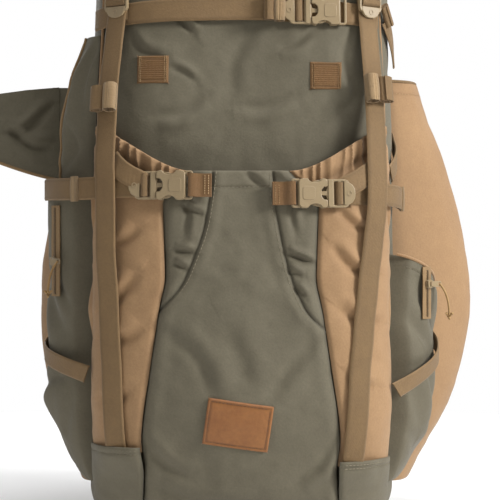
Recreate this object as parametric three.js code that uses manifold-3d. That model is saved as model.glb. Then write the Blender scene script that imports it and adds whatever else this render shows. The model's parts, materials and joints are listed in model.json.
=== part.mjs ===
// Hunting backpack: a filled top-loading bag with front and side pockets, straps, lid and harness.
// Millimetres. +Z up, the front of the bag faces -Y, the wearer's side faces +Y.
import * as THREE from 'three';
import Module from 'manifold-3d';
import { mergeVertices } from 'three/addons/utils/BufferGeometryUtils.js';

const wasm = await Module();
wasm.setup();

// ---- main bag ----
const HALF_WIDTH = 176;
const FRONT_DEPTH = 150;
const BACK_DEPTH = 105;
const FRONT_POWER = 4;
const BACK_POWER = 6;
const BAG_TOP = 640;
const WALL_BOTTOM = 6;
const BASE_THICKNESS = 5;
const CORNER_RADIUS = 50;
const WALL = 3;
const SIDE_SEAM = 172;
const BACK_SEAM = 345;
const SEAM_GAP = 0.5;

// ---- front pocket ----
const POCKET_EDGE = 171;
const POCKET_BOTTOM = 14;
const POCKET_DEPTH = 50;
const MOUTH_CENTER = 412;
const MOUTH_SIDE = 466;
const MOUTH_FLAT = 48;
const CLOTH = 2.5;
const CLOTH_GAP = 1;
const BOOT_TOP = 100;

// ---- side pockets and wings ----
const SIDE_POCKET_START = 176;
const SIDE_POCKET_END = 298;
const SIDE_POCKET_BOTTOM = 60;
const SIDE_POCKET_DEPTH = 46;
const LEFT_MOUTH = 406;
const RIGHT_MOUTH_FRONT = 322;
const RIGHT_MOUTH_BACK = 246;
const WING_START = 303;
const WING_END = 398;
const WING_BOTTOM = 45;
const LEFT_WING_TOP = 440;
const RIGHT_WING_TOP = 530;

// ---- webbing and buckles ----
const WEBBING = 25;
const NARROW_WEBBING = 22;
const WEBBING_THICKNESS = 1.5;
const BUCKLE_HALF = 16;
const BUCKLE_HEIGHT = 9.5;
const BUCKLE_BODY = 32;
const BUCKLE_TAIL = 8;
const CAVITY_HALF = 13;
const CAVITY_DEPTH = 20;
const ARM_LENGTH = 17;
const LADDER_END = 25;

// ---- small maths ----
const mix = (a, b, t) => a + (b - a) * t;
const clamp01 = (t) => Math.min(1, Math.max(0, t));
const smooth = (t) => clamp01(t) ** 2 * (3 - 2 * clamp01(t));

function lookup(rows, x) {
  if (x <= rows[0][0]) {
    return rows[0][1];
  }
  for (let i = 1; i < rows.length; i++) {
    if (x <= rows[i][0]) {
      return mix(rows[i - 1][1], rows[i][1], (x - rows[i - 1][0]) / (rows[i][0] - rows[i - 1][0]));
    }
  }
  return rows[rows.length - 1][1];
}

function spread(from, to, steps) {
  return Array.from({ length: steps + 1 }, (_, i) => mix(from, to, i / steps));
}

// ---- outline of the bag, measured along the girth from the front centre ----
function halfOutline() {
  const points = [];
  const steps = 1440;
  for (let i = 0; i <= steps; i++) {
    const angle = Math.PI / 2 - (i / steps) * Math.PI;
    const isFront = i < steps / 2;
    const power = 2 / (isFront ? FRONT_POWER : BACK_POWER);
    const depth = isFront ? -FRONT_DEPTH : BACK_DEPTH;
    const x = HALF_WIDTH * Math.max(Math.cos(angle), 0) ** power;
    points.push(new THREE.Vector2(x, depth * Math.abs(Math.sin(angle)) ** power));
  }
  return points;
}

const OUTLINE = halfOutline();
const OUTLINE_LENGTHS = OUTLINE.map(() => 0);
for (let i = 1; i < OUTLINE.length; i++) {
  OUTLINE_LENGTHS[i] = OUTLINE_LENGTHS[i - 1] + OUTLINE[i].distanceTo(OUTLINE[i - 1]);
}
const HALF_GIRTH = OUTLINE_LENGTHS[OUTLINE.length - 1];

function outlineAt(s) {
  const i = Math.max(1, OUTLINE_LENGTHS.findIndex((length) => length >= s - 1e-6));
  const t = (s - OUTLINE_LENGTHS[i - 1]) / (OUTLINE_LENGTHS[i] - OUTLINE_LENGTHS[i - 1]);
  return OUTLINE[i - 1].clone().lerp(OUTLINE[i], t);
}

// Fixed stations keep neighbouring layers nested: every layer bends at the same places.
const STATIONS = [0, 60, 100, 128, 150, 170, 192, 220, 260, 318, 345, 360, 374, 390, 420, HALF_GIRTH];
const Z_STATIONS = [6, 14, 26, 44, 100, 200, 320, 440, 540, 640];

const STATION_FRAMES = STATIONS.map((s) => {
  const point = outlineAt(s);
  if (s === 0 || s === HALF_GIRTH) {
    return { point, normal: new THREE.Vector2(0, s === 0 ? -1 : 1) };
  }
  const ahead = outlineAt(Math.min(HALF_GIRTH, s + 4)).sub(outlineAt(s - 4)).normalize();
  return { point, normal: new THREE.Vector2(ahead.y, -ahead.x) };
});

function cornerInset(z) {
  if (z >= CORNER_RADIUS) {
    return 0;
  }
  return CORNER_RADIUS - Math.sqrt(CORNER_RADIUS ** 2 - (CORNER_RADIUS - z) ** 2);
}

function sectionScale(z) {
  const taper = 1 - 0.04 * smooth((z - 440) / 200);
  const belly = 1 + 0.05 * Math.sin((Math.PI * Math.min(z, BAG_TOP)) / BAG_TOP);
  return {
    side: taper - cornerInset(z) / HALF_WIDTH,
    front: taper * belly - cornerInset(z) / FRONT_DEPTH,
    back: 1 - (0.5 * cornerInset(z)) / BACK_DEPTH,
  };
}

// Point on the bag: side +1 is +X, s along the girth, off outward from the bag wall.
function bagPoint(side, s, z, off) {
  let along = s;
  let hand = side;
  if (along < 0) {
    along = -along;
    hand = -hand;
  }
  if (along > HALF_GIRTH) {
    along = 2 * HALF_GIRTH - along;
    hand = -hand;
  }
  const i = Math.min(STATIONS.length - 1, Math.max(1, STATIONS.findIndex((v) => v >= along)));
  const t = (along - STATIONS[i - 1]) / (STATIONS[i] - STATIONS[i - 1]);
  const point = STATION_FRAMES[i - 1].point.clone().lerp(STATION_FRAMES[i].point, t);
  const normal = STATION_FRAMES[i - 1].normal.clone().lerp(STATION_FRAMES[i].normal, t);
  const scale = sectionScale(z);
  const depthScale = point.y < 0 ? scale.front : scale.back;
  const x = point.x * scale.side + normal.x * off;
  return new THREE.Vector3(hand * x, point.y * depthScale + normal.y * off, z);
}

function stationsBetween(from, to) {
  const mirrored = STATIONS.map((s) => -s);
  const beyond = STATIONS.map((s) => 2 * HALF_GIRTH - s);
  const all = [...new Set([...STATIONS, ...mirrored, ...beyond])];
  const inside = all.filter((s) => s > from + 1.5 && s < to - 1.5);
  return [from, ...inside.sort((a, b) => a - b), to];
}

function heightsBetween(from, to) {
  return [from, ...Z_STATIONS.filter((z) => z > from + 2 && z < to - 2), to];
}

// ---- solids ----
function facesToGeometry(points, faces) {
  const geometry = new THREE.BufferGeometry();
  let volume = 0;
  for (const [a, b, c] of faces) {
    volume += points[a].dot(points[b].clone().cross(points[c]));
  }
  const index = faces.flatMap(([a, b, c]) => (volume > 0 ? [a, b, c] : [a, c, b]));
  const flat = points.flatMap((p) => [p.x, p.y, p.z]);
  geometry.setAttribute('position', new THREE.Float32BufferAttribute(flat, 3));
  geometry.setIndex(index);
  return geometry;
}

// Closed slab between an outer and an inner sheet, both given as functions of (u, v).
function slab(us, vs, outer, inner, isLoop = false) {
  const nu = us.length;
  const nv = vs.length;
  const points = [];
  for (const sheet of [outer, inner]) {
    for (const u of us) {
      for (const v of vs) {
        points.push(sheet(u, v));
      }
    }
  }
  const at = (face, i, j) => face * nu * nv + (i % nu) * nv + j;
  const faces = [];
  const quad = (a, b, c, d) => faces.push([a, b, c], [a, c, d]);
  const last = isLoop ? nu : nu - 1;
  const top = nv - 1;
  for (let i = 0; i < last; i++) {
    for (let j = 0; j < top; j++) {
      quad(at(0, i, j), at(0, i + 1, j), at(0, i + 1, j + 1), at(0, i, j + 1));
      quad(at(1, i, j), at(1, i, j + 1), at(1, i + 1, j + 1), at(1, i + 1, j));
    }
    quad(at(0, i, 0), at(1, i, 0), at(1, i + 1, 0), at(0, i + 1, 0));
    quad(at(0, i, top), at(0, i + 1, top), at(1, i + 1, top), at(1, i, top));
  }
  if (!isLoop) {
    for (let j = 0; j < top; j++) {
      quad(at(0, 0, j), at(0, 0, j + 1), at(1, 0, j + 1), at(1, 0, j));
      quad(at(0, nu - 1, j), at(1, nu - 1, j), at(1, nu - 1, j + 1), at(0, nu - 1, j + 1));
    }
  }
  return facesToGeometry(points, faces);
}

function toSolid(geometry) {
  const clean = new THREE.BufferGeometry();
  clean.setAttribute('position', geometry.getAttribute('position').clone());
  if (geometry.index) {
    clean.setIndex(geometry.index.clone());
  }
  const merged = mergeVertices(clean, 1e-4);
  const vertProperties = new Float32Array(merged.getAttribute('position').array);
  const triVerts = new Uint32Array(merged.index.array);
  return new wasm.Manifold(new wasm.Mesh({ numProp: 3, vertProperties, triVerts }));
}

function fromSolid(solid) {
  const mesh = solid.getMesh();
  const geometry = new THREE.BufferGeometry();
  geometry.setAttribute('position', new THREE.Float32BufferAttribute(mesh.vertProperties, 3));
  geometry.setIndex(Array.from(mesh.triVerts));
  return geometry;
}

function union(...geometries) {
  return fromSolid(geometries.map(toSolid).reduce((a, b) => a.add(b)));
}

function subtract(body, ...cutters) {
  return fromSolid(cutters.map(toSolid).reduce((a, b) => a.subtract(b), toSolid(body)));
}

function box(x, y, z) {
  const geometry = new THREE.BoxGeometry(x[1] - x[0], y[1] - y[0], z[1] - z[0]);
  return geometry.translate((x[0] + x[1]) / 2, (y[0] + y[1]) / 2, (z[0] + z[1]) / 2);
}

function roundedShape(x0, x1, y0, y1, r) {
  const shape = new THREE.Shape();
  shape.moveTo(x0 + r, y0);
  shape.lineTo(x1 - r, y0);
  shape.absarc(x1 - r, y0 + r, r, -Math.PI / 2, 0);
  shape.lineTo(x1, y1 - r);
  shape.absarc(x1 - r, y1 - r, r, 0, Math.PI / 2);
  shape.lineTo(x0 + r, y1);
  shape.absarc(x0 + r, y1 - r, r, Math.PI / 2, Math.PI);
  shape.lineTo(x0, y0 + r);
  shape.absarc(x0 + r, y0 + r, r, Math.PI, 1.5 * Math.PI);
  return shape;
}

// Upright plate with rounded corners, thickness along Y.
function uprightPlate(x, z, y, r) {
  const depth = y[1] - y[0];
  const shape = roundedShape(x[0], x[1], z[0], z[1], r);
  const geometry = new THREE.ExtrudeGeometry(shape, { depth, bevelEnabled: false, curveSegments: 4 });
  return geometry.rotateX(Math.PI / 2).translate(0, y[1], 0);
}

// Band of cloth or foam along a space curve; across gives its width direction.
function band(points, across, width, thickness, steps) {
  const curve = new THREE.CatmullRomCurve3(points.map((p) => new THREE.Vector3(...p)));
  const sheet = (level) => (u, v) => {
    const tangent = curve.getTangentAt(u);
    const side = new THREE.Vector3(...across);
    side.addScaledVector(tangent, -side.dot(tangent)).normalize();
    const normal = side.clone().cross(tangent);
    const half = (typeof width === 'function' ? width(u) : width) / 2;
    return curve.getPointAt(u).addScaledVector(side, v * half).addScaledVector(normal, level);
  };
  return slab(spread(0, 1, steps), [-1, 1], sheet(thickness / 2), sheet(-thickness / 2));
}

// ---- skins: how far each pocket stands off the bag wall ----
const mouthHeight = (s) => mix(MOUTH_CENTER, MOUTH_SIDE, clamp01((Math.abs(s) - MOUTH_FLAT) / 123));
const SEAM_HEIGHTS = [100, 150, 200, 262, 320, 385, 412];
const CENTER_HALF = [[14, 171], [98.5, 171], [100, 118], [150, 100], [200, 92], [262, 84], [290, 78],
  [385, 82], [412, 48]];

function frontBulge(s, z) {
  const across = Math.max(0, 1 - (s / (POCKET_EDGE + 1)) ** 2) ** 0.6;
  const rise = Math.sin((Math.PI / 2) * clamp01((z - POCKET_BOTTOM) / 150)) ** 0.8;
  const fall = 1 - 0.3 * smooth((z - 220) / 220);
  return POCKET_DEPTH * across * rise * fall;
}

const sideMouth = (side, s) => (side < 0
  ? LEFT_MOUTH
  : mix(RIGHT_MOUTH_FRONT, RIGHT_MOUTH_BACK,
    (s - SIDE_POCKET_START) / (SIDE_POCKET_END - SIDE_POCKET_START)));

function sideBulge(side, s, z) {
  const t = clamp01((s - SIDE_POCKET_START) / (SIDE_POCKET_END - SIDE_POCKET_START));
  const around = Math.max(0, Math.sin(Math.PI * t ** 0.8)) ** 0.65;
  const rise = Math.sin((Math.PI / 2) * clamp01((z - SIDE_POCKET_BOTTOM) / 110)) ** 0.8;
  return SIDE_POCKET_DEPTH * around * (0.05 + 0.95 * rise);
}

function skin(side, s, z) {
  const distance = Math.abs(s);
  const hand = s < 0 ? -side : side;
  if (distance <= POCKET_EDGE && z < mouthHeight(distance) && z > POCKET_BOTTOM) {
    return CLOTH_GAP + CLOTH + frontBulge(distance, z);
  }
  const isBesidePocket = distance >= SIDE_POCKET_START && distance <= SIDE_POCKET_END;
  if (isBesidePocket && z > SIDE_POCKET_BOTTOM && z < sideMouth(hand, distance)) {
    return CLOTH_GAP + CLOTH + sideBulge(hand, distance, z);
  }
  return 0;
}

// ---- bag body ----
function wallPanel(from, to) {
  const point = (off) => (s, z) => bagPoint(1, s, z, off);
  return slab(stationsBetween(from, to), heightsBetween(WALL_BOTTOM, BAG_TOP), point(0), point(-WALL));
}

function bagBase() {
  const stations = stationsBetween(-HALF_GIRTH, HALF_GIRTH).slice(0, -1);
  const shape = new THREE.Shape(stations.map((s) => {
    const p = bagPoint(1, s, BASE_THICKNESS, 0);
    return new THREE.Vector2(p.x, p.y);
  }));
  return new THREE.ExtrudeGeometry(shape, { depth: BASE_THICKNESS, bevelEnabled: false });
}

function collar() {
  const stations = stationsBetween(-HALF_GIRTH, HALF_GIRTH).slice(0, -1);
  const scale = (z) => 1 - 0.2 * smooth((z - BAG_TOP) / 40);
  const point = (off) => (s, z) => {
    const p = bagPoint(1, s, BAG_TOP, off);
    return new THREE.Vector3(p.x * scale(z), (p.y + 20) * scale(z) - 20, z);
  };
  return slab(stations, [BAG_TOP + 1, 655, 668], point(-0.5), point(-WALL), true);
}

// ---- pockets ----
function pocketCenter() {
  const sheet = (level) => (u, z) => {
    const s = u * lookup(CENTER_HALF, z);
    return bagPoint(1, s, z, CLOTH_GAP + frontBulge(s, z) + level);
  };
  const half = STATIONS.filter((s) => s > 0 && s < POCKET_EDGE - 2).map((s) => s / POCKET_EDGE);
  const across = [-1, ...half.map((u) => -u).reverse(), 0, ...half, 1];
  return slab(across, [14, 26, 44, 70, 98.5, ...SEAM_HEIGHTS], sheet(CLOTH), sheet(0));
}

function pocketSidePanel(side) {
  const sheet = (level) => (u, height) => {
    const seam = lookup(CENTER_HALF, height) + 1.5;
    const s = mix(seam, POCKET_EDGE, u);
    const rise = (height - BOOT_TOP) / (MOUTH_CENTER - BOOT_TOP);
    const z = mix(BOOT_TOP + 1.5, mouthHeight(mix(MOUTH_FLAT, POCKET_EDGE, u)), rise);
    return bagPoint(side, s, z, CLOTH_GAP + frontBulge(s, z) + level);
  };
  return slab(spread(0, 1, 5), SEAM_HEIGHTS, sheet(CLOTH), sheet(0));
}

function sidePocket(side) {
  const sheet = (level) => (s, v) => {
    const z = mix(SIDE_POCKET_BOTTOM, sideMouth(side, s), v);
    return bagPoint(side, s, z, CLOTH_GAP + sideBulge(side, s, z) + level);
  };
  const stations = [176, 183, 192, 206, 224, 244, 264, 280, 291, 298];
  return slab(stations, [0, 0.08, 0.18, 0.3, 0.5, 0.75, 1], sheet(CLOTH), sheet(0));
}

// Front edge of the open left pocket: a strip that stands out to the zip.
function pocketFrontWall() {
  const sheet = (level) => (u, z) => {
    const s = mix(SIDE_POCKET_START, 206, u);
    const reach = lookup([[408, 33], [470, 30], [530, 22], [570, 8]], z);
    return bagPoint(-1, s, z, CLOTH_GAP + reach * Math.sin((Math.PI / 2) * u) + level);
  };
  return slab(spread(0, 1, 5), [408, 440, 470, 500, 530, 550, 570], sheet(CLOTH), sheet(0));
}

function pocketGusset() {
  const sheet = (level) => (u, z) => {
    const start = bagPoint(-1, SIDE_POCKET_END - 4, z, CLOTH_GAP);
    const reach = lookup([[408, 41], [500, 38], [560, 8]], z);
    return new THREE.Vector3(start.x - reach * u, start.y + level + 3 * Math.sin(Math.PI * u), z);
  };
  return slab(spread(0, 1, 4), [408, 440, 470, 500, 530, 560], sheet(CLOTH), sheet(0));
}

const FLAP_HINGE = new THREE.Vector3(-221, 14, 0);

function pocketFlap() {
  const lower = (u) => mix(410, 436, u);
  const upper = (u) => mix(522, 512, u);
  const sheet = (level) => (u, v) => {
    const x = FLAP_HINGE.x - 88 * u;
    const y = FLAP_HINGE.y - 10 * Math.sin(Math.PI * u) * (0.4 + 0.6 * v) + level;
    return new THREE.Vector3(x, y, mix(lower(u), upper(u), v));
  };
  return slab(spread(0, 1, 6), spread(0, 1, 4), sheet(CLOTH), sheet(0));
}

// Rear side panels that swell sideways behind the side pockets, open at the top and bottom.
function wingPanel(side, depthRows, bottom, top) {
  const sheet = (level) => (u, z) => {
    const s = mix(WING_START, WING_END, (1 - Math.cos(Math.PI * u)) / 2);
    const swell = Math.max(0, Math.sin(Math.PI * u)) ** 0.7 * lookup(depthRows, z) + level;
    const push = new THREE.Vector3(side * 0.94, 0.34, 0).multiplyScalar(swell);
    return bagPoint(side, s, z, CLOTH_GAP + 0.5).add(push);
  };
  return slab(spread(0, 1, 9), spread(bottom, top, 8), sheet(CLOTH + 0.5), sheet(0.5));
}

// ---- webbing laid on the bag ----
function upperEnvelope(distances, heights) {
  const hull = [];
  distances.forEach((x, i) => {
    const y = heights[i];
    while (hull.length > 1) {
      const [x1, y1] = hull[hull.length - 2];
      const [x2, y2] = hull[hull.length - 1];
      if ((x2 - x1) * (y - y1) - (y2 - y1) * (x - x1) < 0) {
        break;
      }
      hull.pop();
    }
    hull.push([x, y]);
  });
  return distances.map((x) => lookup(hull, x));
}

// Strap drawn tight over whatever lies under it; controls are [s, z, lift].
function strap(side, controls, width = WEBBING, thickness = WEBBING_THICKNESS, pitch = 22) {
  const curve = new THREE.CatmullRomCurve3(controls.map((c) => new THREE.Vector3(...c)));
  const fine = curve.getSpacedPoints(600);
  const every = Math.round(600 / Math.max(2, Math.round(curve.getLength() / pitch)));
  const isBend = (i) => i > 0 && STATIONS.some((s) => (
    (Math.abs(fine[i - 1].x) - s) * (Math.abs(fine[i].x) - s) <= 0));
  const bends = fine.map((_, i) => i).filter(isBend);
  const isFree = (i) => !bends.some((b) => Math.abs(b - i) < every / 3);
  const points = fine.filter((_, i) => (
    i === 0 || i === 600 || bends.includes(i) || (i % every === 0 && i < 600 - every / 3 && isFree(i))));
  const steps = points.length - 1;
  const crossings = points.map((p, i) => {
    const before = points[Math.max(0, i - 1)];
    const after = points[Math.min(steps, i + 1)];
    const ahead = new THREE.Vector2(after.x - before.x, after.y - before.y).normalize();
    return new THREE.Vector2(-ahead.y, ahead.x);
  });
  const distances = [0];
  for (let i = 1; i <= steps; i++) {
    const step = Math.hypot(points[i].x - points[i - 1].x, points[i].y - points[i - 1].y);
    distances.push(distances[i - 1] + step);
  }
  const reach = [-0.5, -0.25, 0, 0.25, 0.5].map((t) => t * width);
  const heights = points.map((p, i) => Math.max(...reach.map((w) => (
    skin(side, p.x + crossings[i].x * w, p.y + crossings[i].y * w)))));
  const envelope = upperEnvelope(distances, heights);
  const across = (i, w, level) => {
    const s = points[i].x + crossings[i].x * w;
    const z = points[i].y + crossings[i].y * w;
    return bagPoint(side, s, z, envelope[i] + points[i].z + level);
  };
  // Webbing keeps its width where it stands off a rounded corner of the bag.
  const widening = points.map((_, i) => across(i, width / 2, 0).distanceTo(across(i, -width / 2, 0)) / width);
  const sheet = (level) => (i, w) => across(i, w / Math.max(1, widening[i]), level);
  const ribs = [-width / 2, 0, width / 2];
  return slab(points.map((_, i) => i), ribs, sheet(thickness), sheet(0));
}

// Frame for a stiff part seated on the bag: X along (turned by tilt), Y across, Z outward.
function seat(side, s, z, tilt, span, lift) {
  const ahead = new THREE.Vector2(Math.cos(tilt), Math.sin(tilt));
  const sample = (along, across) => {
    const ds = ahead.x * along - ahead.y * across;
    const dz = ahead.y * along + ahead.x * across;
    return bagPoint(side, s + ds, z + dz, skin(side, s + ds, z + dz));
  };
  const xAxis = sample(span[1], 0).sub(sample(span[0], 0)).normalize();
  const rise = sample(0, 10).sub(sample(0, -10));
  const zAxis = xAxis.clone().cross(rise).normalize();
  const center = sample(0, 0);
  if (zAxis.dot(new THREE.Vector3(center.x, center.y, 0)) < 0) {
    zAxis.negate();
  }
  const yAxis = zAxis.clone().cross(xAxis).normalize();
  let highest = 0;
  for (const along of spread(span[0], span[1], 8)) {
    for (const across of [-BUCKLE_HALF, 0, BUCKLE_HALF]) {
      highest = Math.max(highest, sample(along, across).sub(center).dot(zAxis));
    }
  }
  center.addScaledVector(zAxis, highest + lift);
  return new THREE.Matrix4().makeBasis(xAxis, yAxis, zAxis).setPosition(center);
}

// Rolled strap tail: a short cylinder across the strap.
function tailRoll(matrix, along, radius, height) {
  const roll = new THREE.CylinderGeometry(radius, radius, WEBBING, 12);
  return roll.translate(along, 0, height).applyMatrix4(matrix);
}

// ---- buckles, drawn with X from the female tail towards the male tab ----
const BUCKLE_SPAN = [-BUCKLE_BODY - BUCKLE_TAIL - 18, LADDER_END + 2];

function buckleFemale() {
  const shape = roundedShape(-BUCKLE_BODY, 0, -BUCKLE_HALF, BUCKLE_HALF, 4);
  const body = new THREE.ExtrudeGeometry(shape, {
    depth: BUCKLE_HEIGHT, bevelEnabled: false, curveSegments: 1,
  });
  const tailShape = roundedShape(-BUCKLE_BODY - BUCKLE_TAIL, -BUCKLE_BODY + 2, -BUCKLE_HALF, BUCKLE_HALF, 3);
  tailShape.holes.push(roundedShape(-37, -33, -13.3, 13.3, 1));
  const tail = new THREE.ExtrudeGeometry(tailShape, { depth: 3.5, bevelEnabled: false, curveSegments: 1 });
  const cavity = box([-CAVITY_DEPTH, 1], [-CAVITY_HALF, CAVITY_HALF], [2, 7.4]);
  const leftWindow = box([-16, -6], [11, 20], [2.6, 6.8]);
  const rightWindow = box([-16, -6], [-20, -11], [2.6, 6.8]);
  const notch = box([-8, 1], [-7, 7], [6, 12]);
  return subtract(union(body, tail.translate(0, 0, 3)), cavity, leftWindow, rightWindow, notch);
}

function buckleMale() {
  const shape = new THREE.Shape();
  const half = BUCKLE_HALF - 0.5;
  const outline = [[0.6, 2.5], [-14, 2.5], [-15.5, 0]];
  const arm = [[-ARM_LENGTH + 3, 8.2], [-ARM_LENGTH, 10], [-ARM_LENGTH + 1, 12.4], [-6, 12.6], [0.6, 11]];
  const ladder = [[0.6, half], [LADDER_END - 2, half], [LADDER_END, half - 3]];
  const upper = [...outline.slice(0, 2).reverse(), [0.6, 8.2], ...arm, ...ladder];
  const lower = upper.map(([x, y]) => [x, -y]).reverse();
  const loop = [outline[2], ...upper, ...lower];
  shape.moveTo(...loop[0]);
  loop.slice(1).forEach((p) => shape.lineTo(...p));
  shape.closePath();
  for (const x of [8, 16]) {
    shape.holes.push(roundedShape(x, x + 4.5, -13, 13, 1));
  }
  const body = new THREE.ExtrudeGeometry(shape, { depth: 4.4, bevelEnabled: false, curveSegments: 1 });
  return body.translate(0, 0, 2.5);
}

// Webbing looped through the female tail and sewn back on itself.
function anchorWebbing() {
  const path = [[-58, 0.8], [-46, 0.8], [-38.5, 0.9], [-35.7, 2.2], [-35, 4.75], [-35.7, 7.2],
    [-38.5, 8.2], [-41.8, 7.6], [-45, 4.6], [-49, 3], [-58, 2.9]];
  const sheet = (level) => (i, w) => {
    const [x, z] = path[i];
    const [x0, z0] = path[Math.max(0, i - 1)];
    const [x1, z1] = path[Math.min(path.length - 1, i + 1)];
    const length = Math.hypot(x1 - x0, z1 - z0);
    const nx = -(z1 - z0) / length;
    const nz = (x1 - x0) / length;
    return new THREE.Vector3(x + nx * level, w, z + nz * level);
  };
  return slab(path.map((_, i) => i), [-12.5, 12.5], sheet(0.65), sheet(-0.65));
}

// ---- zips ----
function sliderBody() {
  const body = box([-4, 4], [-6, 6], [1, 5]);
  const tab = box([-3, 3], [-22, -4], [4.5, 6.5]);
  return union(body, tab);
}

// ---- harness ----
function shoulderStrap(side) {
  const pad = band([[50, 126, 592], [52, 152, 602], [56, 184, 575], [64, 199, 520], [76, 197, 450],
    [90, 182, 380], [102, 162, 322]].map(([x, y, z]) => [side * x, y, z]), [1, 0, 0], 58, 14, 14);
  const webbing = band([[101, 165, 330], [106, 152, 280], [112, 138, 230], [118, 126, 196]]
    .map(([x, y, z]) => [side * x, y, z]), [1, 0, 0], WEBBING, 2, 6);
  return union(pad, webbing);
}

function hipBelt(side) {
  const wing = band([[101, 127, 112], [128, 142, 112], [154, 185, 110], [160, 240, 108], [142, 300, 106]]
    .map(([x, y, z]) => [side * x, y, z]), [0, 0, 1], (u) => mix(112, 62, u), 14, 10);
  const webbing = band([[146, 292, 106], [126, 322, 106], [98, 340, 106], [76, 344, 106]]
    .map(([x, y, z]) => [side * x, y, z]), [0, 0, 1], WEBBING, 2, 6);
  return union(wing, webbing);
}

function haulHandle() {
  const loop = [[-42, 118, 650], [-36, 122, 632], [-17, 128, 619], [17, 128, 619], [36, 122, 632],
    [42, 118, 650]];
  return band(loop, [0, 1, 0], 12, 5, 16);
}

// ---- lid ----
const LID_HALF_X = 168;
const LID_HALF_Y = 128;
const LID_CENTER_Y = -28;
const LID_BOTTOM = 672;

function lidPlan(u, v) {
  const x = LID_HALF_X * u * Math.sqrt(1 - 0.24 * v * v);
  const y = LID_CENTER_Y + LID_HALF_Y * v * Math.sqrt(1 - 0.24 * u * u);
  return [x, y];
}

function lidBase(left, right) {
  const grid = spread(-1, 1, 8);
  const sheet = (z) => (u, v) => new THREE.Vector3(...lidPlan(u, v), z);
  const plate = slab(grid, grid, sheet(LID_BOTTOM + WALL), sheet(LID_BOTTOM));
  return union(plate, lidTab(left), lidTab(right));
}

// Webbing tab from the lid edge down to the female buckle.
function lidTab(matrix) {
  const tail = new THREE.Vector3(-43, 0, 5).applyMatrix4(matrix);
  const x = tail.x;
  const points = [[x, -108, LID_BOTTOM + 1], [x, -128, LID_BOTTOM + 1], [x, mix(-128, tail.y, 0.8), 668],
    [x, tail.y, tail.z]];
  return band(points, [1, 0, 0], WEBBING, 2, 8);
}

function lidPocket() {
  const edges = [-1, -0.985, -0.93, -0.8, -0.5, 0, 0.5, 0.8, 0.93, 0.985, 1];
  const height = (u, v) => 58 * Math.sqrt((1 - Math.abs(u) ** 5) * (1 - Math.abs(v) ** 5));
  const mouth = (u, v) => 12 * smooth((-v - 0.8) / 0.15) * smooth((0.75 - Math.abs(u)) / 0.1);
  const sheet = (level) => (u, v) => {
    const inset = level === 0 ? 0.985 : 1;
    const [x, y] = lidPlan(u * inset, v * inset);
    return new THREE.Vector3(x, y, LID_BOTTOM + WALL + 1 + Math.max(height(u, v), mouth(u, v)) + level);
  };
  return slab(edges, edges, sheet(CLOTH), sheet(0));
}

// ---- assembly ----
const GREEN = { color: 0x5c5a48, roughness: 0.85, metalness: 0 };
const COYOTE = { color: 0x9a7a52, roughness: 0.85, metalness: 0 };
const STRAP = { color: 0x7a5f3a, roughness: 0.8, metalness: 0 };
const PLASTIC = { color: 0xa58c66, roughness: 0.55, metalness: 0 };
const LEATHER = { color: 0x8a4d20, roughness: 0.6, metalness: 0 };
const ZIP = { color: 0x8b6c45, roughness: 0.7, metalness: 0 };
const PADDING = { color: 0x4f4d40, roughness: 0.95, metalness: 0 };
const FRAME = { color: 0x2b2b2b, roughness: 0.5, metalness: 0 };
const ALUMINIUM = { color: 0xb8bcc0, roughness: 0.4, metalness: 1 };

const bag = new THREE.Group();
bag.name = 'hunting_backpack';

function add(name, geometry, finish, matrix = null) {
  const placed = geometry.clone();
  if (matrix) {
    placed.applyMatrix4(matrix);
  }
  placed.computeVertexNormals();
  const mesh = new THREE.Mesh(placed, new THREE.MeshStandardMaterial({ ...finish, flatShading: true }));
  mesh.name = name;
  bag.add(mesh);
}

function addBody() {
  add('bag_base', bagBase(), GREEN);
  add('bag_front_panel', wallPanel(-SIDE_SEAM + SEAM_GAP, SIDE_SEAM - SEAM_GAP), GREEN);
  add('bag_right_side_panel', wallPanel(SIDE_SEAM + SEAM_GAP, BACK_SEAM - SEAM_GAP), GREEN);
  add('bag_left_side_panel', wallPanel(-BACK_SEAM + SEAM_GAP, -SIDE_SEAM - SEAM_GAP), GREEN);
  add('bag_back_panel', wallPanel(BACK_SEAM + SEAM_GAP, 2 * HALF_GIRTH - BACK_SEAM - SEAM_GAP), GREEN);
  add('bag_collar', collar(), GREEN);
}

function addPockets() {
  add('front_pocket_center', pocketCenter(), GREEN);
  add('front_pocket_left_panel', pocketSidePanel(-1), COYOTE);
  add('front_pocket_right_panel', pocketSidePanel(1), COYOTE);
  add('left_side_pocket', sidePocket(-1), GREEN);
  add('right_side_pocket', sidePocket(1), GREEN);
  add('left_pocket_front_wall', pocketFrontWall(), GREEN);
  add('left_pocket_gusset', pocketGusset(), GREEN);
  add('left_pocket_flap', pocketFlap(), GREEN);
  const leftDepths = [[45, 10], [120, 58], [230, 76], [330, 72], [440, 36]];
  const rightDepths = [[45, 14], [110, 80], [200, 108], [290, 118], [400, 92], [470, 62], [530, 38]];
  add('left_wing_panel', wingPanel(-1, leftDepths, WING_BOTTOM, LEFT_WING_TOP), COYOTE);
  add('right_wing_panel', wingPanel(1, rightDepths, WING_BOTTOM, RIGHT_WING_TOP), COYOTE);
}

const LONG_STRAPS = [
  { side: -1, path: [[141, 611, 3.4], [138, 522, 2.6], [134, 470, 7.2], [132, 408, 12.6], [132, 378, 12.6],
    [131, 325, 2.8], [129, 269, 2.2], [125, 190, 4.6], [123, 106, 2.2]], roll: [137, 493], name: 'left' },
  { side: 1, path: [[146, 611, 3.4], [141, 526, 2.6], [137, 450, 7.2], [134, 392, 7.2], [133, 366, 7.2],
    [129, 325, 2.8], [124, 269, 2.2], [117, 190, 4.6], [112, 90, 2.2]], roll: [140, 503], name: 'right' },
];

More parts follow.
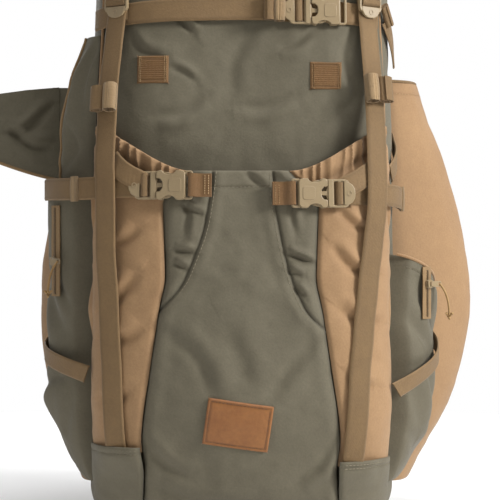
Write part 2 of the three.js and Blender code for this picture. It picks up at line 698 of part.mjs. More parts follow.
function addLongStraps() {
  for (const { side, path, roll, name } of LONG_STRAPS) {
    const webbing = strap(side, path);
    const matrix = seat(side, roll[0], roll[1], -Math.PI / 2, [-14, 14], 15);
    add(`${name}_long_strap`, union(webbing, tailRoll(matrix, 0, 9, 6)), STRAP);
  }
}

function addFrontStraps() {
  const left = union(
    strap(-1, [[100, 395, 1], [130, 394, 1.2], [160, 393, 1.4], [200, 394, 1.4], [250, 396, 1.4]]),
    strap(-1, [[102, 397, 1.2], [118, 410, 1.6], [132, 424, 2.2], [140, 433, 2.2]]),
  );
  const right = union(
    strap(1, [[102, 387, 1], [130, 387, 1.2], [160, 386, 1.4], [200, 384, 1.4], [225, 386, 1.4]]),
    strap(1, [[104, 390, 1.2], [120, 402, 1.6], [140, 418, 2.2], [156, 428, 2.2]]),
  );
  add('left_front_strap', left, STRAP);
  add('right_front_strap', right, STRAP);
  const leftLower = [[158, 186, 1.6], [190, 197, 1.6], [240, 211, 1.6], [290, 224, 1.6]];
  const rightLower = [[158, 168, 1.6], [190, 187, 1.6], [240, 214, 1.6], [286, 233, 1.6]];
  const rightRear = [[182, 412, 1.6], [216, 428, 1.6], [262, 446, 1.6], [294, 456, 1.6]];
  const rightTop = [[182, 590, 2.6], [204, 566, 2.6], [230, 546, 2.6]];
  add('left_lower_strap', strap(-1, leftLower, NARROW_WEBBING), STRAP);
  add('right_lower_strap', strap(1, rightLower, NARROW_WEBBING), STRAP);
  add('right_rear_strap', strap(1, rightRear, NARROW_WEBBING), STRAP);
  add('right_top_strap', strap(1, rightTop), STRAP);
}

const BUCKLES = [
  { name: 'left_buckle', seat: seat(-1, 86, 395, 0, BUCKLE_SPAN, 3.2) },
  { name: 'right_buckle', seat: seat(1, 88, 386, 0, BUCKLE_SPAN, 3.2) },
  { name: 'collar_buckle', seat: seat(1, 80, 592, Math.PI, [-42, 27], 3.4) },
  { name: 'lid_left_buckle', seat: seat(-1, 141, 617, -Math.PI / 2, [-20, 27], 8) },
  { name: 'lid_right_buckle', seat: seat(1, 146, 617, -Math.PI / 2, [-20, 27], 8) },
];

function addBuckles() {
  for (const { name, seat: matrix } of BUCKLES) {
    add(`${name}_female`, buckleFemale(), PLASTIC, matrix);
    add(`${name}_male`, buckleMale(), PLASTIC, matrix);
  }
  add('left_anchor_webbing', anchorWebbing(), STRAP, BUCKLES[0].seat);
  add('right_anchor_webbing', anchorWebbing(), STRAP, BUCKLES[1].seat);
  const across = [[-186, 588, 1.2], [-120, 591, 1.2], [-40, 594, 1.2], [40, 594, 1.2], [120, 591, 1.2],
    [164, 588, 1.2]];
  const roll = tailRoll(seat(1, 14, 594, 0, [-14, 14], 1.5), 0, 8, 7);
  add('collar_strap', union(strap(1, across), roll), STRAP);
}

function addTrim() {
  for (const [name, side, s, z] of [['left', -1, 100, 527], ['right', 1, 96, 520]]) {
    const plate = box([-18, 18], [-15.5, 15.5], [0, 2.4]);
    add(`attachment_square_${name}`, plate, STRAP, seat(side, s, z, 0, [-18, 18], 1));
  }
  const patch = roundedShape(-36, 36, -26, 26, 3);
  const leather = new THREE.ExtrudeGeometry(patch, { depth: 2, bevelEnabled: false, curveSegments: 2 });
  add('leather_patch', leather, LEATHER, seat(1, -3, 134, -0.14, [-36, 36], 1.2));
}

const ZIPS = [
  { name: 'left_zipper', side: -1, s: 200, z: [272, 376], slider: 312 },
  { name: 'right_zipper', side: 1, s: 200, z: [246, 306], slider: 286 },
];

function addZips() {
  for (const { name, side, s, z, slider } of ZIPS) {
    const middle = (z[0] + z[1]) / 2;
    const half = (z[1] - z[0]) / 2;
    const track = seat(side, s, middle, Math.PI / 2, [-half, half], 1.2);
    add(name, box([-half, half], [-7, 7], [0, 1.4]), ZIP, track);
    const carriage = track.clone().multiply(new THREE.Matrix4().makeTranslation(slider - middle, 0, 1));
    add(`${name}_slider`, sliderBody(), PLASTIC, carriage);
  }
}

function addHarness() {
  add('frame_sheet', uprightPlate([-128, 128], [40, 632], [107, 110], 20), FRAME);
  add('frame_stay_left', uprightPlate([-72, -50], [52, 622], [111, 115], 4), ALUMINIUM);
  add('frame_stay_right', uprightPlate([50, 72], [52, 622], [111, 115], 4), ALUMINIUM);
  add('back_pad', uprightPlate([-46, 46], [230, 566], [111.5, 128], 16), PADDING);
  add('lumbar_pad', uprightPlate([-96, 96], [56, 196], [117, 138], 20), PADDING);
  add('left_shoulder_strap', shoulderStrap(-1), PADDING);
  add('right_shoulder_strap', shoulderStrap(1), PADDING);
  add('left_hip_belt', hipBelt(-1), PADDING);
  add('right_hip_belt', hipBelt(1), PADDING);
  add('haul_handle', haulHandle(), STRAP);
  const facingWearer = (x, y, z, turn) => new THREE.Matrix4().makeTranslation(x, y, z)
    .multiply(new THREE.Matrix4().makeRotationX(-Math.PI / 2))
    .multiply(new THREE.Matrix4().makeRotationZ(turn));
  add('sternum_buckle_female', buckleFemale(), PLASTIC, facingWearer(-8, 206, 470, 0));
  add('sternum_buckle_male', buckleMale(), PLASTIC, facingWearer(22, 206, 470, 0));
  add('belt_buckle_female', buckleFemale(), PLASTIC, facingWearer(-38, 348, 106, 0));
  add('belt_buckle_male', buckleMale(), PLASTIC, facingWearer(50, 348, 106, 0));
}

function addLid() {
  add('lid_base', lidBase(BUCKLES[3].seat, BUCKLES[4].seat), GREEN);
  add('lid_pocket', lidPocket(), GREEN);
}

addBody();
addPockets();
addLongStraps();
addFrontStraps();
addBuckles();
addTrim();
addZips();
addHarness();
addLid();

export default bag;
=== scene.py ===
import json
import math

import bpy
import numpy as np
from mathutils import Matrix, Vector

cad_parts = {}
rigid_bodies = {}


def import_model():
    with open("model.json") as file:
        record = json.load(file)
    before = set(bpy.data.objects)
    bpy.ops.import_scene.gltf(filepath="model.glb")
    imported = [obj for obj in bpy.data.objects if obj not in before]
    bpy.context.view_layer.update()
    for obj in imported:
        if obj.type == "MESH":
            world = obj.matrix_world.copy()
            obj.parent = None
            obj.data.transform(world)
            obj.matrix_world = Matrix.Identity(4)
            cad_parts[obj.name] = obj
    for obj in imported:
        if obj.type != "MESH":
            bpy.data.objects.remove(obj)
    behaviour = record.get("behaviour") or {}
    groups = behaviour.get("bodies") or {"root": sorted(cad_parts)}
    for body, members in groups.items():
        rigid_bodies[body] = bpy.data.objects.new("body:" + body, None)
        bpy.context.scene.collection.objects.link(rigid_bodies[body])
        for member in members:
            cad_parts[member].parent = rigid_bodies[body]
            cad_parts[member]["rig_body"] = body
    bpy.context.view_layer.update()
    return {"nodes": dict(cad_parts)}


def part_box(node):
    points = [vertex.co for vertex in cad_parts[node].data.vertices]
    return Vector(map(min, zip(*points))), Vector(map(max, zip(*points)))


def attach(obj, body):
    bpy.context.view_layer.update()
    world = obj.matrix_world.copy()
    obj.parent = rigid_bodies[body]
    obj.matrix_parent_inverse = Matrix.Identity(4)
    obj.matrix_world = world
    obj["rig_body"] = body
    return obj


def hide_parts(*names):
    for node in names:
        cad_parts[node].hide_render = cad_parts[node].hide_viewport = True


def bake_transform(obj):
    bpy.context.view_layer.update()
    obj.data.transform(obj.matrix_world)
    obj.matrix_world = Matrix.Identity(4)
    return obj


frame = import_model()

MM = 0.001
FOLD_GAIN = 1.7          # how far every drawn crease is deepened
# Points across a webbing, closer together at its edges.
BAND_COLUMNS = np.array([-1, -0.96, -0.8, 0, 0.8, 0.96, 1])

# ---------------------------------------------------------------- camera, made first
camera_data = bpy.data.cameras.new("camera")
camera_data.lens = 128.6
camera_data.sensor_width = 36
camera = bpy.data.objects.new("camera", camera_data)
camera.location = (0.010, -2.150, 0.325)
camera.rotation_euler = (math.radians(90), 0, 0)
bpy.context.scene.collection.objects.link(camera)
bpy.context.scene.camera = camera


# ---------------------------------------------------------------- small maths
def mix(a, b, t):
    return a + (b - a) * t


def clamp01(t):
    return np.clip(t, 0, 1)


def smooth(t):
    t = np.clip(t, 0, 1)
    return t * t * (3 - 2 * t)


def lookup(rows, x):
    rows = np.array(rows, float)
    return np.interp(x, rows[:, 0], rows[:, 1])


def soft_lookup(rows, x, blur=8):
    """Table lookup with its corners rounded over blur millimetres."""
    return sum(lookup(rows, x + d * blur) * w
               for d, w in ((-1, 0.2), (-0.5, 0.2), (0, 0.2), (0.5, 0.2), (1, 0.2)))


def hashed(i, j, seed):
    n = (i.astype(np.int64) * 374761393 + j.astype(np.int64) * 668265263 + seed * 982451653) & 0x7FFFFFFF
    n = ((n ^ (n >> 13)) * 1274126177) & 0x7FFFFFFF
    return ((n ^ (n >> 16)) & 0xFFFF) / 32768.0 - 1.0


def noise(x, y, seed=0):
    """Smooth value noise from -1 to 1 with unit cells."""
    i, j = np.floor(x), np.floor(y)
    u, v = smooth(x - i), smooth(y - j)
    a, b = hashed(i, j, seed), hashed(i + 1, j, seed)
    c, d = hashed(i, j + 1, seed), hashed(i + 1, j + 1, seed)
    return mix(mix(a, b, u), mix(c, d, u), v)


def wrinkles(x, y, size, seed=0, octaves=3):
    """Layered noise; x and y in millimetres, size is the largest wavelength."""
    total, gain = 0, 1.0
    for k in range(octaves):
        total = total + gain * noise(x / size * 2 ** k + 17 * k, y / size * 2 ** k - 9 * k, seed + k)
        gain *= 0.45
    return total


def bezier(points, count=18):
    points = np.array(points, float)
    if len(points) == 2:
        return mix(points[0], points[1], np.linspace(0, 1, count)[:, None])
    return catmull(points, count)


def catmull(points, count):
    """Smooth curve through the points, evenly spaced by length."""
    p = np.array(points, float)
    p = np.vstack([2 * p[0] - p[1], p, 2 * p[-1] - p[-2]])
    out = []
    for i in range(1, len(p) - 2):
        t = np.linspace(0, 1, 40, endpoint=False)[:, None]
        a, b, c, d = p[i - 1], p[i], p[i + 1], p[i + 2]
        out.append(0.5 * (2 * b + (c - a) * t + (2 * a - 5 * b + 4 * c - d) * t ** 2
                          + (3 * b - a - 3 * c + d) * t ** 3))
    out = np.vstack(out + [p[-2][None]])
    length = np.concatenate([[0], np.cumsum(np.linalg.norm(np.diff(out, axis=0), axis=1))])
    at = np.linspace(0, length[-1], count)
    return np.stack([np.interp(at, length, out[:, k]) for k in range(out.shape[1])], 1)


def nearest(line, x, y):
    """Distance to a polyline, how far along it (0 to 1), and the side it lies on."""
    best = np.full(np.shape(x), 1e9)
    along = np.zeros(np.shape(x))
    hand = np.zeros(np.shape(x))
    n = len(line) - 1
    for k in range(n):
        a, d = line[k], line[k + 1] - line[k]
        q = max(d @ d, 1e-9)
        t = np.clip(((x - a[0]) * d[0] + (y - a[1]) * d[1]) / q, 0, 1)
        ox, oy = x - a[0] - t * d[0], y - a[1] - t * d[1]
        dist = np.hypot(ox, oy)
        take = dist < best
        best = np.where(take, dist, best)
        along = np.where(take, (k + t) / n, along)
        hand = np.where(take, np.sign(d[0] * oy - d[1] * ox), hand)
    return best, along, hand


def folds(strokes, x, y):
    """Creases: each stroke is (points, width, depth); a valley with a soft ridge on its left."""
    total = np.zeros(np.shape(x))
    for points, width, depth in strokes:
        line = bezier(points)
        low, high = line.min(0) - 5 * width, line.max(0) + 5 * width
        near = (x > low[0]) & (x < high[0]) & (y > low[1]) & (y < high[1])
        if not near.any():
            continue
        dist, along, hand = nearest(line, x[near], y[near])
        fade = np.sin(np.pi * np.clip(along, 0.02, 0.98)) ** 0.6 * np.exp(
            -np.maximum(dist - width * 4, 0) ** 2)
        signed = dist * np.where(hand == 0, 1, hand)
        valley = -np.exp(-(signed / width) ** 2)
        ridge = 0.85 * np.exp(-((signed - 1.9 * width) / (1.3 * width)) ** 2)
        total[near] += FOLD_GAIN * depth * fade * (valley + ridge)
    return total


def grooves(lines, x, y, width=1.8, depth=2.2, puff=1.2, reach=14):
    """Sewn seams: a narrow groove with the cloth puffed on both sides. Returns height and shade."""
    height, shade = np.zeros(np.shape(x)), np.zeros(np.shape(x))
    for line in lines:
        dist, _, _ = nearest(bezier(line, 40), x, y)
        height += -depth * np.exp(-(dist / width) ** 2) + puff * np.exp(
            -((dist - reach * 0.7) / (reach * 0.5)) ** 2)
        shade -= np.exp(-(dist / (width * 1.1)) ** 2)
    return height, shade


# ---------------------------------------------------------------- outline of the bag
HALF_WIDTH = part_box("bag_left_side_panel")[0].x / -MM
FRONT_DEPTH, BACK_DEPTH = 150, 105
BAG_TOP, CORNER = 640, 50
POCKET_EDGE, MOUTH_CENTER, MOUTH_SIDE = 171, 412, 466
SIDE_START, SIDE_END, SIDE_BOTTOM = 176, 298, 60


def half_outline():
    t = np.linspace(0, 1, 3001)
    front = (math.pi / 2) * (1 - t ** 2.2)
    back = (math.pi / 2) * (1 - (1 - t) ** 2.2)
    x = np.concatenate([HALF_WIDTH * np.cos(front) ** 0.5, HALF_WIDTH * np.cos(back[1:]) ** (1 / 3)])
    y = np.concatenate([-FRONT_DEPTH * np.sin(front) ** 0.5, BACK_DEPTH * np.sin(back[1:]) ** (1 / 3)])
    length = np.concatenate([[0], np.cumsum(np.hypot(np.diff(x), np.diff(y)))])
    s = np.linspace(0, length[-1], 1200)
    return s, np.interp(s, length, x), np.interp(s, length, y)


OUT_S, OUT_X, OUT_Y = half_outline()
HALF_GIRTH = OUT_S[-1]


def outline_normals():
    step = 7.0
    def at(s):
        a = np.abs(s)
        a = np.where(a > HALF_GIRTH, 2 * HALF_GIRTH - a, a)
        hand = np.where(s < 0, -1, 1) * np.where(np.abs(s) > HALF_GIRTH, -1, 1)
        return hand * np.interp(a, OUT_S, OUT_X), np.interp(a, OUT_S, OUT_Y)
    ax, ay = at(OUT_S + step)
    bx, by = at(OUT_S - step)
    dx, dy = ax - bx, ay - by
    size = np.hypot(dx, dy)
    return dy / size, -dx / size


OUT_NX, OUT_NY = outline_normals()


def section(z):
    inset = np.where(z >= CORNER, 0, CORNER
                     - np.sqrt(np.maximum(CORNER ** 2 - (CORNER - np.minimum(z, CORNER)) ** 2, 0)))
    taper = 1 - 0.04 * smooth((z - 440) / 200)
    belly = 1 + 0.05 * np.sin(np.pi * np.minimum(z, BAG_TOP) / BAG_TOP)
    return taper - inset / HALF_WIDTH, taper * belly - inset / FRONT_DEPTH, 1 - 0.5 * inset / BACK_DEPTH


def bag(side, s, z, off):
    """Point on the bag in millimetres: side +1 is +X, s along the girth, off outward from its wall."""
    s, z, off = np.broadcast_arrays(np.asarray(s, float), np.asarray(z, float), np.asarray(off, float))
    hand = side * np.where(s < 0, -1, 1)
    a = np.abs(s)
    hand = np.where(a > HALF_GIRTH, -hand, hand)
    a = np.where(a > HALF_GIRTH, 2 * HALF_GIRTH - a, a)
    px, py = np.interp(a, OUT_S, OUT_X), np.interp(a, OUT_S, OUT_Y)
    nx, ny = np.interp(a, OUT_S, OUT_NX), np.interp(a, OUT_S, OUT_NY)
    wide, front, back = section(z)
    x = hand * (px * wide + nx * off)
    y = py * np.where(py < 0, front, back) + ny * off
    return np.stack([x, y, z], -1)


def mouth_height(s):
    return mix(MOUTH_CENTER, MOUTH_SIDE, smooth((np.abs(s) - 48) / 123))


def front_bulge(s, z):
    across = np.maximum(0, 1 - (s / (POCKET_EDGE + 1)) ** 2) ** 0.6
    rise = np.sin(np.pi / 2 * clamp01((z - 14) / 150)) ** 0.8
    return 50 * across * rise * (1 - 0.3 * smooth((z - 220) / 220))


def side_mouth(side, s):
    return np.where(side < 0, 406, mix(322, 246, (s - SIDE_START) / (SIDE_END - SIDE_START)))


def side_bulge(s, z):
    t = clamp01((s - SIDE_START) / (SIDE_END - SIDE_START))
    around = np.maximum(0, np.sin(np.pi * t ** 0.8)) ** 0.65
    return 46 * around * (0.05 + 0.95 * np.sin(np.pi / 2 * clamp01((z - SIDE_BOTTOM) / 110)) ** 0.8)


def skin(side, s, z):
    """How far the pockets stand off the bag wall."""
    d = np.abs(s)
    hand = np.where(s < 0, -side, side)
    front = (d <= POCKET_EDGE) & (z < mouth_height(d)) & (z > 14)
    beside = (d >= SIDE_START) & (d <= SIDE_END) & (z > SIDE_BOTTOM) & (z < side_mouth(hand, d))
    return np.where(front, 3.5 + front_bulge(d, z), np.where(beside, 3.5 + side_bulge(d, z), 0))


# ---------------------------------------------------------------- materials
def material(name, color, second, roughness, bump=None, sheen=0.0, specular=0.35, metallic=0.0,
             wave=None, grain=420, groove_shade=0.5, coat=0.0):
    """Procedural finish. bump is (strength, distance in mm); wave is the UV pitch in mm of threads (u, v)."""
    mat = bpy.data.materials.new(name)
    mat.use_nodes = True
    nodes, links = mat.node_tree.nodes, mat.node_tree.links
    nodes.clear()
    out = nodes.new("ShaderNodeOutputMaterial")
    shader = nodes.new("ShaderNodeBsdfPrincipled")
    links.new(shader.outputs[0], out.inputs[0])
    shader.inputs["Metallic"].default_value = metallic
    shader.inputs["Specular IOR Level"].default_value = specular
    shader.inputs["Sheen Weight"].default_value = sheen
    shader.inputs["Sheen Roughness"].default_value = 0.45
    shader.inputs["Coat Weight"].default_value = coat

    def new(kind, **inputs):
        node = nodes.new(kind)
        for key, value in inputs.items():
            socket = node.inputs[int(key[1:])] if key[0] == "i" and key[1:].isdigit() else node.inputs[key]
            if isinstance(value, bpy.types.NodeSocket):
                links.new(value, socket)
            else:
                socket.default_value = value
        return node

    def maths(operation, a, b=0.0):
        node = new("ShaderNodeMath", i0=a, i1=b)
        node.operation = operation
        return node.outputs[0]

    def blend_color(kind, factor, a, b):
        node = nodes.new("ShaderNodeMix")
        node.data_type = "RGBA"
        node.blend_type = kind
        for socket, value in ((node.inputs[0], factor), (node.inputs[6], a), (node.inputs[7], b)):
            if isinstance(value, bpy.types.NodeSocket):
                links.new(value, socket)
            else:
                socket.default_value = value
        return node.outputs[2]

    place = nodes.new("ShaderNodeTexCoord")
    big = new("ShaderNodeTexNoise", Vector=place.outputs["Object"], Scale=11.0, Detail=3.0)
    mid = new("ShaderNodeTexNoise", Vector=place.outputs["Object"], Scale=75.0, Detail=3.0)
    fine = new("ShaderNodeTexNoise", Vector=place.outputs["Object"], Scale=float(grain), Detail=2.0)
    patchy = maths("ADD", maths("MULTIPLY", big.outputs[0], 0.55), maths("MULTIPLY", mid.outputs[0], 0.45))
    spread = new("ShaderNodeMapRange", Value=patchy)
    spread.inputs["From Min"].default_value = 0.32
    spread.inputs["From Max"].default_value = 0.68
    base = blend_color("MIX", spread.outputs[0], (*color, 1), (*second, 1))
    height = fine.outputs[0]
    if wave:
        uv = nodes.new("ShaderNodeUVMap")
        uv.uv_map = "cloth"
        split = new("ShaderNodeSeparateXYZ", Vector=uv.outputs[0])
        along = maths("SINE", maths("MULTIPLY", split.outputs[0], 2 * math.pi / (wave[0] * MM)))
        if wave[1]:
            across = maths("SINE", maths("MULTIPLY", split.outputs[1], 2 * math.pi / (wave[1] * MM)))
            threads = maths("MULTIPLY", along, across)
        else:
            threads = along
        height = maths("ADD", maths("MULTIPLY", threads, 0.35), fine.outputs[0])
        tone = maths("ADD", maths("MULTIPLY", threads, 0.05), 0.97)
        shaded = new("ShaderNodeCombineColor", i0=tone, i1=tone, i2=tone)
        base = blend_color("MULTIPLY", 1.0, base, shaded.outputs[0])
    speckle = new("ShaderNodeMapRange", Value=fine.outputs[0])
    speckle.inputs["To Min"].default_value = 0.86
    speckle.inputs["To Max"].default_value = 1.14
    grained = new("ShaderNodeCombineColor", i0=speckle.outputs[0], i1=speckle.outputs[0],
                  i2=speckle.outputs[0])
    base = blend_color("MULTIPLY", 1.0, base, grained.outputs[0])
    # Painted shade: where the "shade" attribute is negative (seams, grooves, creases, pleat valleys) the
    # colour is mixed towards a darker copy, as strongly as the argument after grain sets for each material.
    # Where it is positive the colour is mixed towards a lighter copy, for edge wear.
    tone_attribute = nodes.new("ShaderNodeAttribute")
    tone_attribute.attribute_name = "shade"
    darker = maths("MULTIPLY", maths("MAXIMUM", maths("MULTIPLY", tone_attribute.outputs["Fac"], -1.0),
                                     0.0), groove_shade)
    lighter = maths("MULTIPLY", maths("MAXIMUM", tone_attribute.outputs["Fac"], 0.0), 0.35)
    dark = tuple(c * 0.35 for c in color)
    light = tuple(min(1, c * 1.5 + 0.02) for c in color)
    base = blend_color("MIX", darker, base, (*dark, 1))
    base = blend_color("MIX", lighter, base, (*light, 1))
    links.new(base, shader.inputs["Base Color"])
    rough = new("ShaderNodeMapRange", Value=mid.outputs[0])
    rough.inputs["To Min"].default_value = roughness - 0.07
    rough.inputs["To Max"].default_value = roughness + 0.07
    links.new(rough.outputs[0], shader.inputs["Roughness"])
    if bump:
        node = new("ShaderNodeBump", Strength=bump[0], Distance=bump[1] * MM, Height=height)
        links.new(node.outputs[0], shader.inputs["Normal"])
    return mat


GREEN = material("ranger_green_cloth", (0.122, 0.105, 0.068), (0.146, 0.127, 0.084), 0.70,
                 bump=(0.5, 0.5), sheen=0.12, wave=(1.3, 1.3))
GREEN_DARK = material("inner_cloth", (0.060, 0.054, 0.038), (0.075, 0.066, 0.046), 0.85,
                      bump=(0.5, 0.5), sheen=0.1, wave=(1.3, 1.3))
TAN = material("coyote_cloth", (0.310, 0.182, 0.087), (0.360, 0.217, 0.106), 0.72,
               bump=(0.5, 0.5), sheen=0.15, wave=(1.3, 1.3))
WEB = material("coyote_webbing", (0.178, 0.107, 0.045), (0.215, 0.132, 0.057), 0.66,
               bump=(0.7, 0.6), sheen=0.1, wave=(2.1, 1.4), groove_shade=0.7)
WEB_RIB = material("brown_ribbed_webbing", (0.178, 0.090, 0.031), (0.215, 0.113, 0.040), 0.66,
                   bump=(0.9, 0.9), sheen=0.1, wave=(1.6, 2.3), groove_shade=0.7)
ELASTIC = material("pale_elastic", (0.30, 0.195, 0.095), (0.35, 0.235, 0.12), 0.8,
                   bump=(0.9, 0.8), sheen=0.15, wave=(1.8, 0), groove_shade=0.7)
PLASTIC = material("moulded_buckle_plastic", (0.270, 0.198, 0.108), (0.300, 0.222, 0.124), 0.38,
                   bump=(0.12, 0.25), specular=0.5, grain=900, groove_shade=0.6)
LEATHER = material("brown_leather", (0.190, 0.068, 0.016), (0.290, 0.118, 0.032), 0.46,
                   bump=(0.55, 0.7), specular=0.45, grain=260, groove_shade=0.8)
THREAD = material("pale_thread", (0.235, 0.200, 0.135), (0.275, 0.238, 0.165), 0.7, grain=900)
THREAD_TAN = material("tan_thread", (0.480, 0.330, 0.170), (0.540, 0.380, 0.205), 0.7, grain=900)
THREAD_DARK = material("dark_thread", (0.070, 0.045, 0.022), (0.090, 0.058, 0.030), 0.7, grain=900)
TAPE = material("zip_tape", (0.250, 0.155, 0.070), (0.290, 0.185, 0.088), 0.78,
                bump=(0.6, 0.4), wave=(1.1, 1.1), sheen=0.1)
COIL = material("zip_coil", (0.130, 0.090, 0.050), (0.160, 0.110, 0.062), 0.4, bump=(0.1, 0.2), specular=0.5)
MESH = material("spacer_mesh", (0.052, 0.050, 0.040), (0.068, 0.065, 0.052), 0.92,
                bump=(1.0, 1.6), sheen=0.25, wave=(4.2, 4.2), grain=300)
CORD = material("tan_cord", (0.330, 0.200, 0.080), (0.400, 0.255, 0.110), 0.75, bump=(0.6, 0.5), sheen=0.1,
                grain=1200)
COMPOSITE = material("frame_composite", (0.030, 0.030, 0.030), (0.042, 0.042, 0.040), 0.48,
                     bump=(0.2, 0.3), grain=700)
ALUMINIUM = material("brushed_aluminium", (0.62, 0.63, 0.64), (0.70, 0.71, 0.72), 0.34, bump=(0.15, 0.1),
                     metallic=1.0, grain=900)


# ---------------------------------------------------------------- mesh building
def make(name, verts, faces, mat, body="bag", nodes=(), slot=None, uv=None, shade=None, sharp=42):
    """Mesh object from millimetre vertices, riding on a body."""
    mesh = bpy.data.meshes.new(name)
    verts = np.asarray(verts, float).reshape(-1, 3)
    sizes = np.array([len(f) for f in faces], np.int32)
    flat = np.concatenate([np.asarray(f, np.int32) for f in faces])
    mesh.vertices.add(len(verts))
    mesh.vertices.foreach_set("co", (verts * MM).astype(np.float32).ravel())
    mesh.loops.add(len(flat))
    mesh.loops.foreach_set("vertex_index", flat)
    mesh.polygons.add(len(sizes))
    mesh.polygons.foreach_set("loop_start", np.concatenate([[0], np.cumsum(sizes)[:-1]]).astype(np.int32))
    mesh.update(calc_edges=True)
    mesh.validate()
    layer = mesh.uv_layers.new(name="cloth")
    if uv is None:
        uv = verts[:, [0, 2]] + 0.7 * verts[:, [1, 1]]
    loops = np.empty(len(mesh.loops), np.int32)
    mesh.loops.foreach_get("vertex_index", loops)
    layer.data.foreach_set("uv", (np.asarray(uv)[loops] * MM).astype(np.float32).ravel())
    if shade is not None:
        attribute = mesh.attributes.new("shade", "FLOAT", "POINT")
        attribute.data.foreach_set("value", np.asarray(shade, np.float32).ravel())
    mesh.materials.append(mat)
    mesh.shade_smooth()
    mesh.set_sharp_from_angle(angle=math.radians(sharp))
    obj = bpy.data.objects.new(name, mesh)
    bpy.context.scene.collection.objects.link(obj)
    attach(obj, body)
    if nodes:
        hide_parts(*nodes)
    return obj


def grid_normals(p, loop=False):
    du = np.roll(p, -1, 0) - np.roll(p, 1, 0) if loop else np.gradient(p, axis=0)
    dv = np.gradient(p, axis=1)
    n = np.cross(du, dv)
    return n / np.maximum(np.linalg.norm(n, axis=2, keepdims=True), 1e-9)


def quads(nu, nv, loop):
    """Faces of a closed sheet: outer grid, inner grid and the rims between them."""
    i, j = np.meshgrid(np.arange(nu if loop else nu - 1), np.arange(nv - 1), indexing="ij")
    i, j = i.ravel(), j.ravel()
    k, m = (i + 1) % nu, nu * nv
    outer = np.stack([i * nv + j, k * nv + j, k * nv + j + 1, i * nv + j + 1], 1)
    inner = outer[:, ::-1] + m
    i = np.arange(nu if loop else nu - 1)
    k = (i + 1) % nu
    low = np.stack([i * nv, i * nv + m, k * nv + m, k * nv], 1)
    top = nv - 1
    high = np.stack([i * nv + top, k * nv + top, k * nv + top + m, i * nv + top + m], 1)
    rims = [low, high]
    if not loop:
        j = np.arange(nv - 1)
        last = (nu - 1) * nv
        rims += [np.stack([j, j + 1, j + 1 + m, j + m], 1),
                 np.stack([last + j, last + j + m, last + j + 1 + m, last + j + 1], 1)]
    return np.vstack([outer, inner] + rims)


def sheet(name, p, mat, thick=2.0, loop=False, uv=None, shade=None, outward=None, **more):
    """Closed cloth piece from its outer surface p[u, v]; thickness goes inward."""
    n = grid_normals(p, loop)
    if outward is None:
        outward = p - np.array([0, -20, 300])
        outward[..., 2] = 0
    flip = (n * outward).sum() < 0
    if flip:
        n = -n
    nu, nv = p.shape[:2]
    faces = quads(nu, nv, loop)
    if flip:
        faces = faces[:, ::-1]
    depth = thick if np.isscalar(thick) else thick[..., None]
    verts = np.concatenate([p.reshape(-1, 3), (p - n * depth).reshape(-1, 3)])
    if uv is None:
        lu = np.linalg.norm(np.diff(p, axis=0), axis=2).mean(1)
        lv = np.linalg.norm(np.diff(p, axis=1), axis=2).mean(0)
        a, b = np.meshgrid(np.r_[0, np.cumsum(lu)], np.r_[0, np.cumsum(lv)], indexing="ij")
    else:
        a, b = np.broadcast_arrays(*uv)
    uv = np.stack([a.ravel(), b.ravel()], 1)
    if shade is not None:
        shade = np.concatenate([np.broadcast_to(shade, (nu, nv)).ravel()] * 2)
    return make(name, verts, faces, mat, uv=np.vstack([uv, uv]), shade=shade, **more)


def edged(count, first=0.6, second=2.2, span=100.0):
    """0 to 1 with extra lines near both ends, at first and second millimetres of span."""
    a, b = first / span, second / span
    return np.concatenate([[0, a, b], np.linspace(b, 1 - b, count)[1:-1], [1 - b, 1 - a, 1]])


def edge_roll(x, low, high, radius=2.6, drop=2.2):
    """Turned-under cloth edge: how far the surface drops near both ends of a range."""
    d = np.minimum(x - low, high - x)
    t = np.clip(1 - d / radius, 0, 1)
    return -drop * (1 - np.sqrt(np.maximum(1 - t * t, 0)))


def tube_mesh(line, radius, sides=8, closed_ends=True):
    """Vertices and faces of a tube along a polyline (millimetres)."""
    line = np.asarray(line, float)
    tangent = np.gradient(line, axis=0)
    tangent /= np.maximum(np.linalg.norm(tangent, axis=1, keepdims=True), 1e-9)
    up = np.array([0.31, 0.22, 0.92])
    side = np.cross(tangent, up)
    side /= np.maximum(np.linalg.norm(side, axis=1, keepdims=True), 1e-9)
    other = np.cross(side, tangent)
    angle = np.linspace(0, 2 * np.pi, sides, endpoint=False)
    radius = np.broadcast_to(np.asarray(radius, float), (len(line),))
    ring = (side[:, None] * np.cos(angle)[None, :, None] + other[:, None] * np.sin(angle)[None, :, None])
    verts = (line[:, None] + ring * radius[:, None, None]).reshape(-1, 3)
    faces = []
    for i in range(len(line) - 1):
        for j in range(sides):
            k = (j + 1) % sides
            faces.append([i * sides + j, i * sides + k, (i + 1) * sides + k, (i + 1) * sides + j])
    if closed_ends:
        faces.append(list(range(sides))[::-1])
        faces.append([(len(line) - 1) * sides + j for j in range(sides)])
    return verts, faces


class Pile:
    """Many small solids collected into one mesh."""

    def __init__(self):
        self.verts, self.faces, self.count = [], [], 0

    def add(self, verts, faces):
        self.verts.append(np.asarray(verts, float))
        self.faces += [[k + self.count for k in face] for face in faces]
        self.count += len(verts)

    def make(self, name, mat, **more):
        return make(name, np.vstack(self.verts), self.faces, mat, **more)


STITCH_FACES = [[0, 1, 4, 3], [1, 2, 5, 4], [2, 0, 3, 5], [3, 4, 7, 6], [4, 5, 8, 7], [5, 3, 6, 8],
                [2, 1, 0], [6, 7, 8]]


